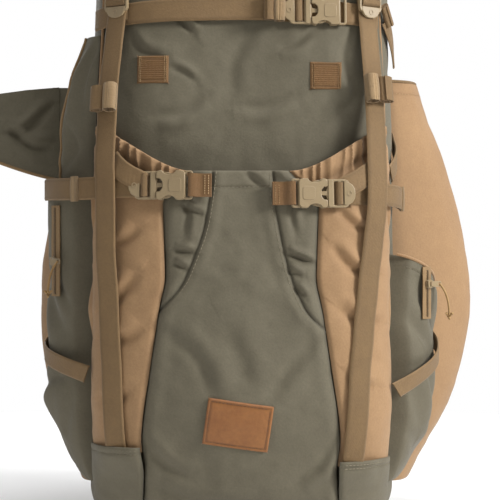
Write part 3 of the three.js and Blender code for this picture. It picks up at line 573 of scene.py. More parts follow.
def stitch(pile, line, normal, length=3.0, gap=1.5, width=0.75, rise=0.55):
    """Thread segments along a 3-D line with surface normals."""
    line, normal = np.asarray(line, float), np.asarray(normal, float)
    at = np.r_[0, np.cumsum(np.linalg.norm(np.diff(line, axis=0), axis=1))]
    start = gap / 2
    while start + length < at[-1]:
        span = np.array([start, start + length / 2, start + length])
        p = np.stack([np.interp(span, at, line[:, k]) for k in range(3)], 1)
        n = np.stack([np.interp(span, at, normal[:, k]) for k in range(3)], 1)
        n /= np.linalg.norm(n, axis=1, keepdims=True)
        t = p[2] - p[0]
        side = np.cross(t / max(np.linalg.norm(t), 1e-9), n)
        verts = []
        for k, size in enumerate((0.45, 1.0, 0.45)):
            verts += [p[k] + side[k] * width * size / 2 - n[k] * 0.35,
                      p[k] - side[k] * width * size / 2 - n[k] * 0.35,
                      p[k] + n[k] * rise * size]
        pile.add(verts, STITCH_FACES)
        start += length + gap


def surface_line(fn, line, raise_by=0.0):
    """Points and normals of a surface fn(s, z) along a line in (s, z)."""
    line = np.asarray(line, float)
    p = fn(line[:, 0], line[:, 1])
    ds = fn(line[:, 0] + 1.0, line[:, 1]) - fn(line[:, 0] - 1.0, line[:, 1])
    dz = fn(line[:, 0], line[:, 1] + 1.0) - fn(line[:, 0], line[:, 1] - 1.0)
    n = np.cross(ds, dz)
    n /= np.maximum(np.linalg.norm(n, axis=1, keepdims=True), 1e-9)
    flip = np.sign((n * (p - np.array([0, -20, 0]))[:, :] * np.array([1, 1, 0])).sum(1))[:, None]
    n = n * np.where(flip == 0, 1, flip)
    return p + n * raise_by, n


def seam_stitch(pile, fn, points, raise_by=0.2, samples=90, **more):
    p, n = surface_line(fn, bezier(points, samples), raise_by)
    stitch(pile, p, n, **more)


def piping(name, fn, points, radius, mat, raise_by=0.5, samples=80, **more):
    p, _ = surface_line(fn, bezier(points, samples), raise_by)
    verts, faces = tube_mesh(p, radius)
    return make(name, verts, faces, mat, **more)


# ---------------------------------------------------------------- seats for stiff parts
def seat(side, s, z, tilt, span, lift, lift_range=(-16, 0, 16)):
    """Frame on the skin: X along (turned by tilt), Y across, Z outward. Millimetres."""
    ahead = np.array([math.cos(tilt), math.sin(tilt)])

    def sample(along, across):
        ds = ahead[0] * along - ahead[1] * across
        dz = ahead[1] * along + ahead[0] * across
        return bag(side, s + ds, z + dz, skin(side, s + ds, z + dz))

    x = sample(span[1], 0) - sample(span[0], 0)
    x /= np.linalg.norm(x)
    rise = sample(0, 10) - sample(0, -10)
    n = np.cross(x, rise)
    n /= np.linalg.norm(n)
    center = sample(0, 0)
    if n @ np.array([center[0], center[1], 0]) < 0:
        n = -n
    y = np.cross(n, x)
    y /= np.linalg.norm(y)
    highest = max(float((sample(a, c) - center) @ n) for a in np.linspace(*span, 9) for c in lift_range)
    center = center + n * (max(highest, 0) + lift)
    return np.array([[x[0], y[0], n[0], center[0]], [x[1], y[1], n[1], center[1]],
                     [x[2], y[2], n[2], center[2]], [0, 0, 0, 1]])


def placed(verts, matrix):
    verts = np.asarray(verts, float)
    return verts @ matrix[:3, :3].T + matrix[:3, 3]


# ---------------------------------------------------------------- the bag's own cloth
LEFT_STRIP = [([(-158, 568), (-166, 530), (-160, 470)], 4, 2.0), ([(-164, 610), (-160, 560)], 3.5, 1.2)]
BAG_FOLDS = LEFT_STRIP + [
    ([(-78, 594), (-68, 582), (-56, 568)], 4.5, 3.2), ([(-82, 530), (-66, 524), (-52, 514)], 3.5, 1.8),
    ([(-128, 566), (-112, 548), (-86, 540)], 5, 1.8), ([(80, 570), (62, 556), (40, 550)], 5, 1.6),
    ([(128, 572), (118, 540), (126, 500)], 5, 1.8), ([(20, 580), (-8, 540), (-10, 500)], 9, 1.4),
    ([(60, 500), (30, 486), (0, 484)], 6, 1.8), ([(-40, 498), (-66, 480), (-96, 474)], 6, 2.0),
    ([(160, 600), (164, 560), (158, 500)], 4, 1.6), ([(112, 480), (128, 500), (130, 530)], 5, 1.5),
]


def front_relief(s, z):
    """Height of the slack front cloth above the bag's smooth wall."""
    slack = 2.0 * wrinkles(s, z * 0.7, 95, 3) + 0.7 * wrinkles(s * 1.3, z, 26, 8, 2)
    sag = -2.5 * np.exp(-((z - 500) / 45) ** 2) * np.cos(s / 60)
    return slack + sag + folds(BAG_FOLDS, s, z) + 1.5


def side_relief(s, z):
    return 2.0 * wrinkles(s, z * 0.6, 80, 21) + 0.8 * wrinkles(s, z, 24, 23, 2) + 1.2


def wall(name, s0, s1, relief, mat, nodes, cols, rows, z0=6, z1=644):
    us = edged(cols, span=abs(s1 - s0))
    vs = edged(rows, span=z1 - z0)
    s, z = np.meshgrid(mix(s0, s1, us), mix(z0, z1, vs), indexing="ij")
    fade = smooth((z - z0) / 60) * smooth((z1 + 1 - z) / 25)
    seam = edge_roll(s, s0, s1, 7, 1.6)
    off = relief(s, z) * fade + seam
    d = np.minimum(s - s0, s1 - s)
    shade = -0.9 * np.exp(-(d / 2.5) ** 2)
    return sheet(name, bag(1, s, z, off), mat, 2.4, uv=(s, z), shade=shade, nodes=nodes, slot="green_fabric")


wall("bag_front_cloth", -171.6, 171.6, front_relief, GREEN, ["bag_front_panel"], 170, 300)
wall("bag_right_side_cloth", 172.4, 344.6, side_relief, GREEN, ["bag_right_side_panel"], 70, 190)
wall("bag_left_side_cloth", -344.6, -172.4, side_relief, GREEN, ["bag_left_side_panel"], 70, 190)
wall("bag_back_cloth", 345.4, 2 * HALF_GIRTH - 345.4, lambda s, z: 1.2 * wrinkles(s, z, 110, 31), GREEN,
     ["bag_back_panel"], 110, 150)


def bag_floor():
    rings, around = 26, 220
    r = np.linspace(0.02, 1, rings)
    s = np.linspace(-HALF_GIRTH, HALF_GIRTH, around, endpoint=False)
    edge = bag(1, s, 5.0, 0)
    center = np.array([0, -15, 0])
    p = center + (edge - center)[:, None] * r[None, :, None]
    p[..., 2] = 0.25 + 4.5 * smooth((r - 0.9) / 0.1)[None, :]
    sheet("bag_floor_cloth", p, GREEN, 2.0, loop=True,
          outward=np.broadcast_to(np.array([0, 0, -1.0]), p.shape),
          nodes=["bag_base"], slot="green_fabric")


bag_floor()


def collar():
    s = np.linspace(-HALF_GIRTH, HALF_GIRTH, 420, endpoint=False)
    v = edged(22, 0.6, 2, 28)
    s, t = np.meshgrid(s, v, indexing="ij")
    z = mix(641, 668, t)
    gather = (1.0 + 1.3 * noise(s / 22, t * 0.4, 41)) * np.sin(
        s / 3.1 + 2.2 * noise(s / 30, t, 44)) * smooth(t * 1.6)
    p = bag(1, s, 640.0, 0.6 + gather)
    scale = 1 - 0.2 * smooth((z - 640) / 40)
    p[..., 0] *= scale
    p[..., 1] = (p[..., 1] + 20) * scale - 20
    p[..., 2] = z + 0.6 * noise(s / 11, t, 46) * t
    sheet("bag_collar_cloth", p, GREEN, 2.0, loop=True, uv=(s, z), shade=-0.5 * (np.abs(gather) > 1.4),
          nodes=["bag_collar"], slot="green_fabric")
    rim = p[:, -1] + np.array([0, 0, 0.2])
    verts, faces = tube_mesh(np.vstack([rim, rim[:2]]), 2.2)
    make("collar_drawcord_hem", verts, faces, GREEN, slot="green_fabric")


collar()

# ---------------------------------------------------------------- front pocket
SEAM_LEFT = [(-31, 411), (-34, 381), (-40, 347), (-51, 314), (-63, 286), (-85, 258)]
SEAM_RIGHT = [(35, 409), (38, 370), (46, 325), (55, 291), (69, 258), (84, 240)]
SIDE_EDGE = [(14, 108), (86, 100), (112, 103), (150, 99), (200, 92), (262, 84), (290, 78), (385, 82),
             (412, 48)]
CENTER_FOLDS = [
    ([(48, 322), (62, 316), (78, 309)], 3.2, 3.4), ([(50, 302), (66, 296)], 3, 2.0),
    ([(56, 285), (68, 273)], 3, 1.8),
    ([(-71, 325), (-50, 322)], 3, 2.6), ([(-72, 311), (-56, 303)], 3, 2.2),
    ([(-64, 374), (-40, 362)], 3, 2.2),
    ([(4, 410), (16, 400), (30, 391)], 4, 1.6), ([(-80, 236), (-46, 204), (-30, 160)], 8, 1.8),
    ([(80, 228), (52, 196), (30, 164)], 8, 1.8), ([(-104, 122), (-84, 92), (-56, 74)], 6, 2.2),
    ([(100, 126), (84, 90), (58, 70)], 6, 2.2), ([(-20, 246), (0, 206), (6, 170)], 10, 1.4),
    ([(-92, 60), (-40, 44), (20, 46)], 7, 1.8), ([(100, 50), (60, 38), (30, 42)], 6, 1.6),
    ([(-70, 396), (-58, 372), (-60, 340)], 3.5, 1.6), ([(66, 396), (54, 370), (58, 340)], 3.5, 1.6),
]


def pocket_off(s, z):
    return 3.5 + front_bulge(s, z)


def center_relief(s, z):
    seams, shade = grooves([SEAM_LEFT, SEAM_RIGHT], s, z, 1.7, 2.4, 1.3, 12)
    slack = 2.1 * wrinkles(s, z, 70, 51) + 0.7 * wrinkles(s, z, 20, 55, 2)
    return slack + seams + folds(CENTER_FOLDS, s, z), shade


def center_surface(s, z):
    relief, _ = center_relief(np.asarray(s, float), np.asarray(z, float))
    return bag(1, s, z, pocket_off(s, z) + relief)


def pocket_center():
    us = edged(150, 0.5, 1.6, 180) * 2 - 1
    vs = edged(250, 0.6, 2.0, 398)
    u, z = np.meshgrid(us, mix(14, 412, vs), indexing="ij")
    half = soft_lookup(SIDE_EDGE, z, 9)
    s = u * half
    relief, shade = center_relief(s, z)
    border = (1 - np.abs(u)) * half
    relief += -2.0 * np.exp(-(border / 2.6) ** 2) + 1.2 * np.exp(-((border - 9) / 6) ** 2)
    hem = edge_roll(z, -50, 412, 3.0, 2.4) - 1.0 * np.exp(-((z - 394) / 1.4) ** 2)
    p = bag(1, s, z, pocket_off(s, z) + relief + hem)
    shade = shade - 0.9 * np.exp(-(border / 2.4) ** 2) + 0.5 * np.exp(-((412 - z) / 2.0) ** 2)
    sheet("front_pocket_center_cloth", p, GREEN, 2.4, uv=(s, z), shade=shade,
          nodes=["front_pocket_center"], slot="green_fabric")


pocket_center()

PANEL_TOPS = {-1: 108, 1: 92}
PANEL_FOLDS = {
    -1: [([(104, 300), (122, 272), (136, 262)], 5, 3.0), ([(98, 240), (118, 226), (138, 226)], 6, 2.6),
         ([(112, 172), (124, 160), (142, 158)], 5, 2.2), ([(104, 350), (118, 336), (134, 330)], 5, 2.4),
         ([(166, 420), (160, 380), (166, 330)], 4, 2.6), ([(164, 300), (158, 256), (166, 210)], 5, 2.4)],
    1: [([(94, 330), (112, 306), (134, 300)], 5, 2.8), ([(100, 262), (120, 246), (140, 244)], 6, 2.6),
        ([(108, 190), (122, 176), (134, 174)], 5, 2.2), ([(98, 372), (116, 352), (132, 350)], 4.5, 2.4),
        ([(164, 410), (160, 372), (168, 330)], 4, 2.4), ([(162, 290), (160, 250), (168, 205)], 5, 2.2)],
}


def panel_point(side, u, t, extra=0.0):
    """Tan panel beside the centre: u from its seam to the bag edge, t from the boot to the mouth."""
    top = mouth_height(mix(48, POCKET_EDGE, u))
    z = mix(PANEL_TOPS[side] - 6, top, t)
    seam = soft_lookup(SIDE_EDGE, mix(PANEL_TOPS[side] - 6, 412, t), 9) + 1.2
    s = mix(seam, POCKET_EDGE, u)
    below = top - z
    phase = s / 1.7 + 2.6 * noise(s / 15, below / 26, 61)
    pleat = (1 - 2 * np.abs(np.sin(phase / 2)) ** 0.7) * (1 + 0.6 * noise(s / 8, 0 * s, 64))
    gather = 1.9 * pleat * np.exp(
        -(np.maximum(below - 15, 0) / 16) ** 1.2) * smooth(u * 9) * smooth((1 - u) * 9)
    neck = -2.8 * np.exp(-((below - 17) / 4.5) ** 2)
    puff = 5.0 * np.sin(np.pi * clamp01(u)) ** 0.8 * smooth((below - 18) / 45) * smooth(t * 6)
    slack = 1.6 * wrinkles(s, z, 52, 71 + side) + 0.6 * wrinkles(s, z, 17, 75, 2)
    crease = folds(PANEL_FOLDS[side], s, z)
    rim = np.minimum(u * (POCKET_EDGE - seam), 400)
    outer = (1 - u) * (POCKET_EDGE - seam)
    sewn = -2.2 * np.exp(-(rim / 2.6) ** 2) - 1.2 * np.exp(-(outer / 2.6) ** 2) + edge_roll(
        below, 0, 1e5, 2.4, 2.0)
    off = pocket_off(s, z) + gather + neck + puff + (slack + crease) * smooth(below / 30) + sewn + extra
    shade = -0.85 * np.exp(-(rim / 2.4) ** 2) - 0.5 * np.exp(
        -((below - 17) / 3.5) ** 2) - 0.25 * (gather < -0.6)
    return bag(side, s, z, off), s, z, shade


def pocket_panel(side, name):
    u, t = np.meshgrid(edged(100, 0.5, 1.8, 80), edged(260, 0.6, 2, 350), indexing="ij")
    p, s, z, shade = panel_point(side, u, t)
    sheet(f"front_pocket_{name}_cloth", p, TAN, 2.2, uv=(s, z), shade=shade,
          nodes=[f"front_pocket_{name}_panel"], slot="coyote_fabric")


for hand, label in ((-1, "left"), (1, "right")):
    pocket_panel(hand, label)


def boot_rise(side, s, z):
    """The boot's top edge lifts over the end of the long strap."""
    middle = 125 if side < 0 else 115
    return 7.5 * np.exp(-((s - middle) / 24) ** 4) * smooth((z - PANEL_TOPS[side] + 40) / 30)


def boot_panel(side, name):
    u, z = np.meshgrid(edged(50, 0.5, 2, 60), mix(14, PANEL_TOPS[side], edged(60, 0.6, 2.0, 90)),
                       indexing="ij")
    inner = soft_lookup(SIDE_EDGE, z, 9) + 1.2
    s = mix(inner, POCKET_EDGE, u)
    rim, above = u * (POCKET_EDGE - inner), PANEL_TOPS[side] - z
    relief = 1.4 * wrinkles(s, z, 40, 81 + side) - 2.0 * np.exp(-(rim / 2.4) ** 2) + edge_roll(
        above, 0, 1e5, 2.4, 2.2)
    relief += -0.8 * np.exp(-((above - 8) / 1.3) ** 2)
    p = bag(side, s, z, pocket_off(s, z) + 3.2 + relief + boot_rise(side, s, z))
    sheet(f"boot_{name}_cloth", p, GREEN, 2.4, uv=(s, z), shade=-0.8 * np.exp(-(rim / 2.2) ** 2),
          slot="green_fabric")


for hand, label in ((-1, "left"), (1, "right")):
    boot_panel(hand, label)

pale, tan_thread, dark_thread = Pile(), Pile(), Pile()
for line, inward in ((SEAM_LEFT, 1), (SEAM_RIGHT, -1)):
    shifted = [(x + inward * 4.2, z + 0.6) for x, z in line]
    seam_stitch(pale, center_surface, shifted, 0.1)
for x0 in (-46, -24):
    seam_stitch(pale, center_surface, [(x0, 394), (x0 + 22, 393.5)], 0.3, 30)
seam_stitch(pale, center_surface, [(-2, 394), (30, 394), (46, 396)], 0.3, 40)
for hand in (-1, 1):
    edge = PANEL_TOPS[hand]

    def boot_surface(s, z, side=hand):
        return bag(side, s, z, pocket_off(s, z) + 3.2 + boot_rise(side, s, z))

    seam_stitch(pale, boot_surface, [(106, edge - 8), (167, edge - 8)], 0.1, 40)
    seam_stitch(pale, boot_surface, [(106, edge - 4), (167, edge - 4)], 0.3, 40)


# ---------------------------------------------------------------- side pockets
SIDE_FOLDS = {
    -1: [([(226, 296), (208, 262), (190, 222)], 9, 3.4), ([(214, 310), (198, 280), (184, 250)], 6, 2.4),
         ([(238, 156), (214, 176), (196, 184)], 8, 2.6), ([(198, 190), (206, 150), (212, 112)], 9, 3.4),
         ([(186, 180), (192, 146), (202, 104)], 7, 2.8), ([(236, 140), (224, 108), (206, 84)], 10, 2.4),
         ([(250, 280), (244, 240), (246, 200)], 11, 1.8)],
    1: [([(194, 300), (202, 262), (220, 226)], 9, 3.4), ([(182, 262), (192, 236), (210, 212)], 7, 2.8),
        ([(186, 190), (192, 152), (202, 120)], 8, 3.0), ([(200, 206), (214, 170), (230, 134)], 8, 3.0),
        ([(188, 122), (206, 100), (232, 84)], 10, 2.4), ([(248, 210), (252, 180), (248, 150)], 11, 1.8)],
}


def side_pocket_off(side, s, z):
    slack = 2.4 * wrinkles(s * 1.5, z, 90, 91 + side, 2) + 0.4 * wrinkles(s, z, 20, 95, 1)
    below = side_mouth(side, s) - z
    shape = 3.5 + side_bulge(s, z) + (slack + folds(SIDE_FOLDS[side], s, z)) * smooth(below / 20)
    return shape


def side_pocket(side, name):
    u, v = np.meshgrid(edged(110, 0.6, 2, 170), edged(170, 0.6, 2, 340), indexing="ij")
    s = mix(SIDE_START, SIDE_END, u)
    top = side_mouth(side, s)
    z = mix(SIDE_BOTTOM, top, v)
    ends = np.minimum(s - SIDE_START, SIDE_END - s)
    off = side_pocket_off(side, s, z) + edge_roll(
        top - z, 0, 1e5, 2.6, 2.2) - 1.0 * np.exp(-((top - z - 12) / 1.3) ** 2)
    off = mix(3.0, off, smooth(ends / 9)) + edge_roll(z, SIDE_BOTTOM, 1e5, 4, 2.0)
    shade = -0.8 * np.exp(-(ends / 2.6) ** 2)
    sheet(f"{name}_side_pocket_cloth", bag(side, s, z, off), GREEN, 2.2, uv=(s, z), shade=shade,
          nodes=[f"{name}_side_pocket"], slot="green_fabric")

    def surface(a, b):
        return bag(side, a, b, side_pocket_off(side, np.asarray(a, float), np.asarray(b, float)))

    seam_stitch(pale, surface, [(a, float(side_mouth(side, np.array(a))) - 12)
                                for a in (182, 210, 240, 270, 292)],
                0.2, 70)
    if side > 0:
        piping("right_pocket_mouth_piping", surface,
               [(a, float(side_mouth(side, np.array(a))) - 0.5) for a in (178, 206, 240, 270, 296)], 1.8,
               TAN, 0.4,
               slot="coyote_fabric")


side_pocket(-1, "left")
side_pocket(1, "right")


def pocket_front_wall():
    u, z = np.meshgrid(edged(50, 0.6, 2, 50), mix(408, 570, edged(90, 0.6, 2, 160)), indexing="ij")
    s = mix(SIDE_START, 206, u)
    reach = soft_lookup([[408, 33], [470, 30], [530, 22], [570, 8]], z, 10)
    off = 3.5 + reach * np.sin(np.pi / 2 * u) + 1.6 * wrinkles(s, z, 40, 101) * smooth(u * 6)
    off += folds([([(180, 560), (190, 520), (186, 470)], 4, 2.4),
                  ([(196, 470), (190, 440), (200, 416)], 4, 2.2)], s, z)
    p = bag(-1, s, z, off)
    sheet("left_pocket_front_cloth", p, GREEN, 2.2, uv=(s, z),
          shade=-0.7 * np.exp(-((s - SIDE_START) / 2.4) ** 2),
          nodes=["left_pocket_front_wall"], slot="green_fabric")
    verts, faces = tube_mesh(p[-1] + np.array([-1.0, 0, 0]), 2.0)
    make("left_pocket_edge_tape", verts, faces, TAPE, slot="zipper_tape")


def pocket_gusset():
    u, z = np.meshgrid(edged(40, 0.6, 2, 45), mix(408, 560, edged(80, 0.6, 2, 150)), indexing="ij")
    start = bag(-1, 294, z, 1.0)
    reach = soft_lookup([[408, 41], [500, 38], [560, 8]], z, 10)
    p = start + np.stack([-reach * u, 2.5 + 3 * np.sin(np.pi * u) + 1.2 * wrinkles(u * 45, z, 30, 107),
                          0 * z], -1)
    sheet("left_pocket_gusset_cloth", p, GREEN, 2.0, uv=(u * 45, z),
          outward=np.broadcast_to(np.array([0, 1.0, 0]), p.shape), nodes=["left_pocket_gusset"],
          slot="green_fabric")


def pocket_flap():
    u, v = np.meshgrid(edged(80, 0.5, 1.6, 90), edged(90, 0.5, 1.6, 110), indexing="ij")
    lower, upper = mix(410, 436, u ** 1.3), mix(522, 512, u)
    z = mix(lower, upper, v)
    x = -221 - 88 * u * (1 - 0.06 * (v - 0.5) ** 2)
    relief = 2.2 * wrinkles(u * 90, z, 40, 113) * smooth(u * 4)
    relief += folds([([(6, 500), (40, 470), (70, 468)], 5, 3.2),
                     ([(4, 450), (34, 452), (62, 474)], 5, 2.6)], u * 88, z)
    y = 14 - 10 * np.sin(np.pi * u) * (0.4 + 0.6 * v) - relief
    p = np.stack([x, y, z], -1)
    flap = sheet("left_pocket_flap_cloth", p, GREEN, 2.2, uv=(u * 90, z), body="left_flap",
                 outward=np.broadcast_to(np.array([0, -1.0, 0]), p.shape), nodes=["left_pocket_flap"],
                 slot="green_fabric")
    for k, line in (("lower", p[:, 0]), ("outer", p[-1])):
        verts, faces = tube_mesh(line[3:-1] if k == "lower" else line, 1.9)
        make(f"left_flap_{k}_tape", verts, faces, TAPE, body="left_flap", slot="zipper_tape")


def flap_root():
    """Cloth that joins the pocket's gusset to the flap, shaped with a bend at the hinge line; it is not
    attached to any body.
    """
    u, v = np.meshgrid(np.linspace(0, 1, 26), edged(70, 0.5, 1.6, 110), indexing="ij")
    z = mix(410.5, 521.5, v)
    x = mix(-208, -228, u)
    bow = np.sin(np.pi * np.clip((-221 - x) / 88, 0, 1)) * (0.4 + 0.6 * v)
    y = np.where(x > -221, 14.8 + 0.6 * (x + 221) / 13, 14 - 10 * bow) + 0.4
    p = np.stack([x, y, z], -1)
    root = sheet("left_flap_root_cloth", p, GREEN, 1.8, uv=(u * 20, z), slot="green_fabric",
                 outward=np.broadcast_to(np.array([0, -1.0, 0]), p.shape))
    root.parent = None
    del root["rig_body"]
    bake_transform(root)


pocket_front_wall()
pocket_gusset()
pocket_flap()
flap_root()


# ---------------------------------------------------------------- wings
WINGS = {
    -1: ("left", [[45, 10], [120, 58], [230, 76], [330, 72], [440, 36]], 45, 440),
    1: ("right", [[45, 14], [110, 80], [200, 108], [290, 118], [400, 92], [470, 62], [530, 38]], 45, 530),
}
WING_FOLDS = {
    -1: [([(30, 390), (42, 330), (46, 270)], 14, 1.6), ([(24, 250), (38, 200), (44, 140)], 14, 1.7),
         ([(96, 310), (104, 240), (100, 180)], 16, 1.4)],
    1: [([(30, 480), (44, 400), (50, 320)], 16, 1.8), ([(22, 300), (38, 240), (46, 160)], 16, 1.9),
        ([(102, 490), (118, 420), (120, 350)], 14, 1.6), ([(96, 260), (106, 200), (104, 140)], 14, 1.5)],
}


def wing(side):
    name, rows, bottom, top = WINGS[side]
    u, v = np.meshgrid(edged(110, 0.6, 2, 200), edged(150, 0.6, 2, top - bottom), indexing="ij")
    z = mix(bottom, top, v)
    s = mix(303, 398, (1 - np.cos(np.pi * u)) / 2)
    along = u * 150
    relief = 1.4 * wrinkles(along * 1.4, z, 120, 121 + side) + 0.4 * wrinkles(along, z, 24, 125, 2)
    relief += folds(WING_FOLDS[side], along, z)
    relief = relief * smooth(np.minimum(u, 1 - u) * 12) + edge_roll(z, bottom, top, 2.6, 2.2)
    swell = np.maximum(0, np.sin(np.pi * u)) ** 0.7 * soft_lookup(rows, z, 48) + 3.0 + relief
    p = bag(side, s, z, 1.5) + np.stack([side * 0.94 * swell, 0.34 * swell, 0 * z], -1)
    d = np.minimum(u, 1 - u) * 150
    shade = -0.8 * np.exp(-(d / 3) ** 2) - 0.5 * np.exp(-((top - z - 14) / 1.2) ** 2)
    sheet(f"{name}_wing_cloth", p, TAN, 2.2, uv=(along, z), shade=shade, nodes=[f"{name}_wing_panel"],
          slot="coyote_fabric")
    verts, faces = tube_mesh(p[:, -1], 2.0)
    make(f"{name}_wing_binding", verts, faces, WEB, slot="webbing")
    row = int(np.argmin(np.abs(z[0] - (top - 14))))
    n = grid_normals(p)[:, row]
    stitch(tan_thread, p[4:-4, row], n[4:-4] * side, rise=0.7)


wing(-1)
wing(1)


# ---------------------------------------------------------------- webbing
def cloth_height(side, s, z):
    """How far the visible cloth stands off the bag wall, where webbing lies on it."""
    d = np.abs(s)
    hand = np.where(s < 0, -side, side)
    front = (d <= POCKET_EDGE) & (z < mouth_height(d)) & (z > 14)
    beside = (d >= SIDE_START) & (d <= SIDE_END) & (z > SIDE_BOTTOM) & (z < side_mouth(hand, d))
    puff = np.where(d > 84, 4.8, 2.0)
    wall_cloth = np.where(d < 172, front_relief(side * s, z), 3.0).clip(0) + 0.6
    return np.where(front, 3.5 + front_bulge(d, z) + puff,
                    np.where(beside, 6.0 + side_bulge(d, z), wall_cloth))


LAID = []


def laid_height(side, s, z):
    """Top of the webbing already laid under a point, or 0."""
    top = np.zeros(np.shape(s))
    for hand, line_s, line_z, line_off, half in LAID:
        if hand != side:
            line_s = -line_s
        gap = np.hypot(s[:, None] - line_s[None], z[:, None] - line_z[None])
        k = gap.argmin(1)
        near = gap[np.arange(len(s)), k] < half
        top = np.maximum(top, np.where(near, line_off[k], 0))
    return top


def strap_surface(side, controls, width, thickness, samples=None, max_lift=4.8):
    """Points of a strap drawn over the pockets: arrays along it and across it."""
    pts = catmull(controls, 400)
    length = np.hypot(np.diff(pts[:, 0]), np.diff(pts[:, 1])).sum()
    count = samples or int(length / 2.2)
    pts = catmull(controls, count)
    d = np.gradient(pts[:, :2], axis=0)
    d /= np.linalg.norm(d, axis=1, keepdims=True)
    cross = np.stack([-d[:, 1], d[:, 0]], 1)
    at = np.r_[0, np.cumsum(np.hypot(np.diff(pts[:, 0]), np.diff(pts[:, 1])))]
    reach = np.linspace(-0.5, 0.5, 7) * width
    rows = [(pts[:, 0] + cross[:, 0] * w, pts[:, 1] + cross[:, 1] * w) for w in reach]
    heights = np.max([np.maximum(cloth_height(side, a, b), laid_height(side, a, b)) for a, b in rows], axis=0)
    hull = []
    for x, y in zip(at, heights):
        while len(hull) > 1:
            (x1, y1), (x2, y2) = hull[-2], hull[-1]
            if (x2 - x1) * (y - y1) - (y2 - y1) * (x - x1) < 0:
                break
            hull.pop()
        hull.append((x, y))
    envelope = np.interp(at, *np.array(hull).T)
    kernel = np.hanning(15) / np.hanning(15).sum()
    envelope = np.convolve(np.pad(envelope, 7, mode="edge"), kernel, "valid")
    lift = np.minimum(pts[:, 2], max_lift)
    across = np.array([-1, -0.97, -0.9, -0.8, -0.6, -0.3, 0, 0.3, 0.6, 0.8, 0.9, 0.97, 1]) * width / 2
    wobble = 0.35 * noise(at / 26, at * 0, 131 + int(width + controls[0][0]))
    offset = envelope + lift
    rim = [bag(side, pts[:, 0] + cross[:, 0] * h, pts[:, 1] + cross[:, 1] * h, offset)
           for h in (-width / 2, width / 2)]
    widening = np.maximum(1, np.linalg.norm(rim[1] - rim[0], axis=-1) / width)
    w = (across[None, :] + wobble[:, None]) / widening[:, None]
    s = pts[:, 0:1] + cross[:, 0:1] * w
    z = pts[:, 1:2] + cross[:, 1:2] * w
    crown = thickness * (1 - 0.75 * np.abs(across / (width / 2)) ** 10) + 0.35 * np.exp(
        -((np.abs(across) - width / 2 + 2) / 0.9) ** 2)
    wave = 0.5 * noise(at / 30, at * 0, 137 + int(abs(controls[0][1])))
    off = (envelope + lift + wave)[:, None] + crown[None, :]
    LAID.append((side, pts[:, 0], pts[:, 1], off[:, 6], width / 2 + 2))
    return bag(side, s, z, off), at, across


def strap(name, side, controls, width=25, thickness=1.6, mat=None, nodes=(), **more):
    p, at, across = strap_surface(side, controls, width, thickness, **more)
    a, b = np.meshgrid(across, at, indexing="ij")
    shade = 0.5 * (np.abs(across) > width / 2 - 1.2)[None, :] - 0.3 * (
        np.abs(np.abs(across) - width / 2 + 3.2) < 0.9)[None, :]
    sheet(name, p, mat or WEB, thickness * 0.95, uv=(a.T, b.T), shade=np.broadcast_to(shade, p.shape[:2]),
          nodes=nodes, slot="webbing")
    return p


LONG = {
    "left": (-1, [[141, 611, 1.2], [138, 522, 0.9], [134, 470, 0.9], [131, 408, 0.9], [131, 378, 0.9],
                  [131, 325, 0.6], [129, 269, 0.5], [127, 190, 0.5], [126, 130, 0.2], [126, 98, -3.2]]),
    "right": (1, [[146, 611, 1.2], [141, 526, 0.9], [137, 450, 0.9], [134, 392, 0.9], [133, 366, 0.9],
                  [129, 325, 0.6], [124, 269, 0.5], [118, 190, 0.5], [115, 114, 0.2], [114, 82, -3.2]]),
}
LEFT_FRONT = strap("left_front_webbing", -1,
                   [[94, 395, 1], [130, 394, 1.2], [160, 393, 1.4], [200, 394, 1.4], [250, 396, 1.4]],
      nodes=["left_front_strap"])
strap("left_rising_webbing", -1, [[100, 399, 1.6], [114, 409, 2.0], [126, 421, 2.4], [132, 428, 2.4]], 24)
RIGHT_FRONT = strap("right_front_webbing", 1,
                    [[96, 387, 1], [130, 387, 1.2], [160, 386, 1.4], [200, 384, 1.4], [225, 386, 1.4]],
      nodes=["right_front_strap"])
strap("right_rising_webbing", 1, [[102, 392, 1.6], [116, 400, 2.0], [128, 409, 2.4], [138, 417, 2.4]], 24)
strap("left_lower_webbing", -1, [[158, 186, 1.6], [190, 197, 1.6], [240, 211, 1.6], [290, 224, 1.6]], 22,
      nodes=["left_lower_strap"])
strap("right_lower_webbing", 1, [[158, 168, 1.6], [190, 187, 1.6], [240, 214, 1.6], [286, 233, 1.6]], 22,
      nodes=["right_lower_strap"])
strap("right_rear_webbing", 1, [[182, 412, 1.6], [216, 428, 1.6], [262, 446, 1.6], [294, 456, 1.6]], 22,
      nodes=["right_rear_strap"])
strap("right_top_webbing", 1, [[182, 590, 2.6], [204, 566, 2.6], [230, 546, 2.6]], nodes=["right_top_strap"])
COLLAR_POINTS = strap("collar_webbing", 1,
                      [[-186, 588, 1.2], [-120, 591, 1.2], [-40, 594, 1.2], [40, 594, 1.2],
                                            [120, 591, 1.2], [164, 588, 1.2]], nodes=["collar_strap"])

LONG_POINTS = {}
for label, (hand, path) in LONG.items():
    LONG_POINTS[label] = strap(f"{label}_long_webbing", hand, path, nodes=[f"{label}_long_strap"])


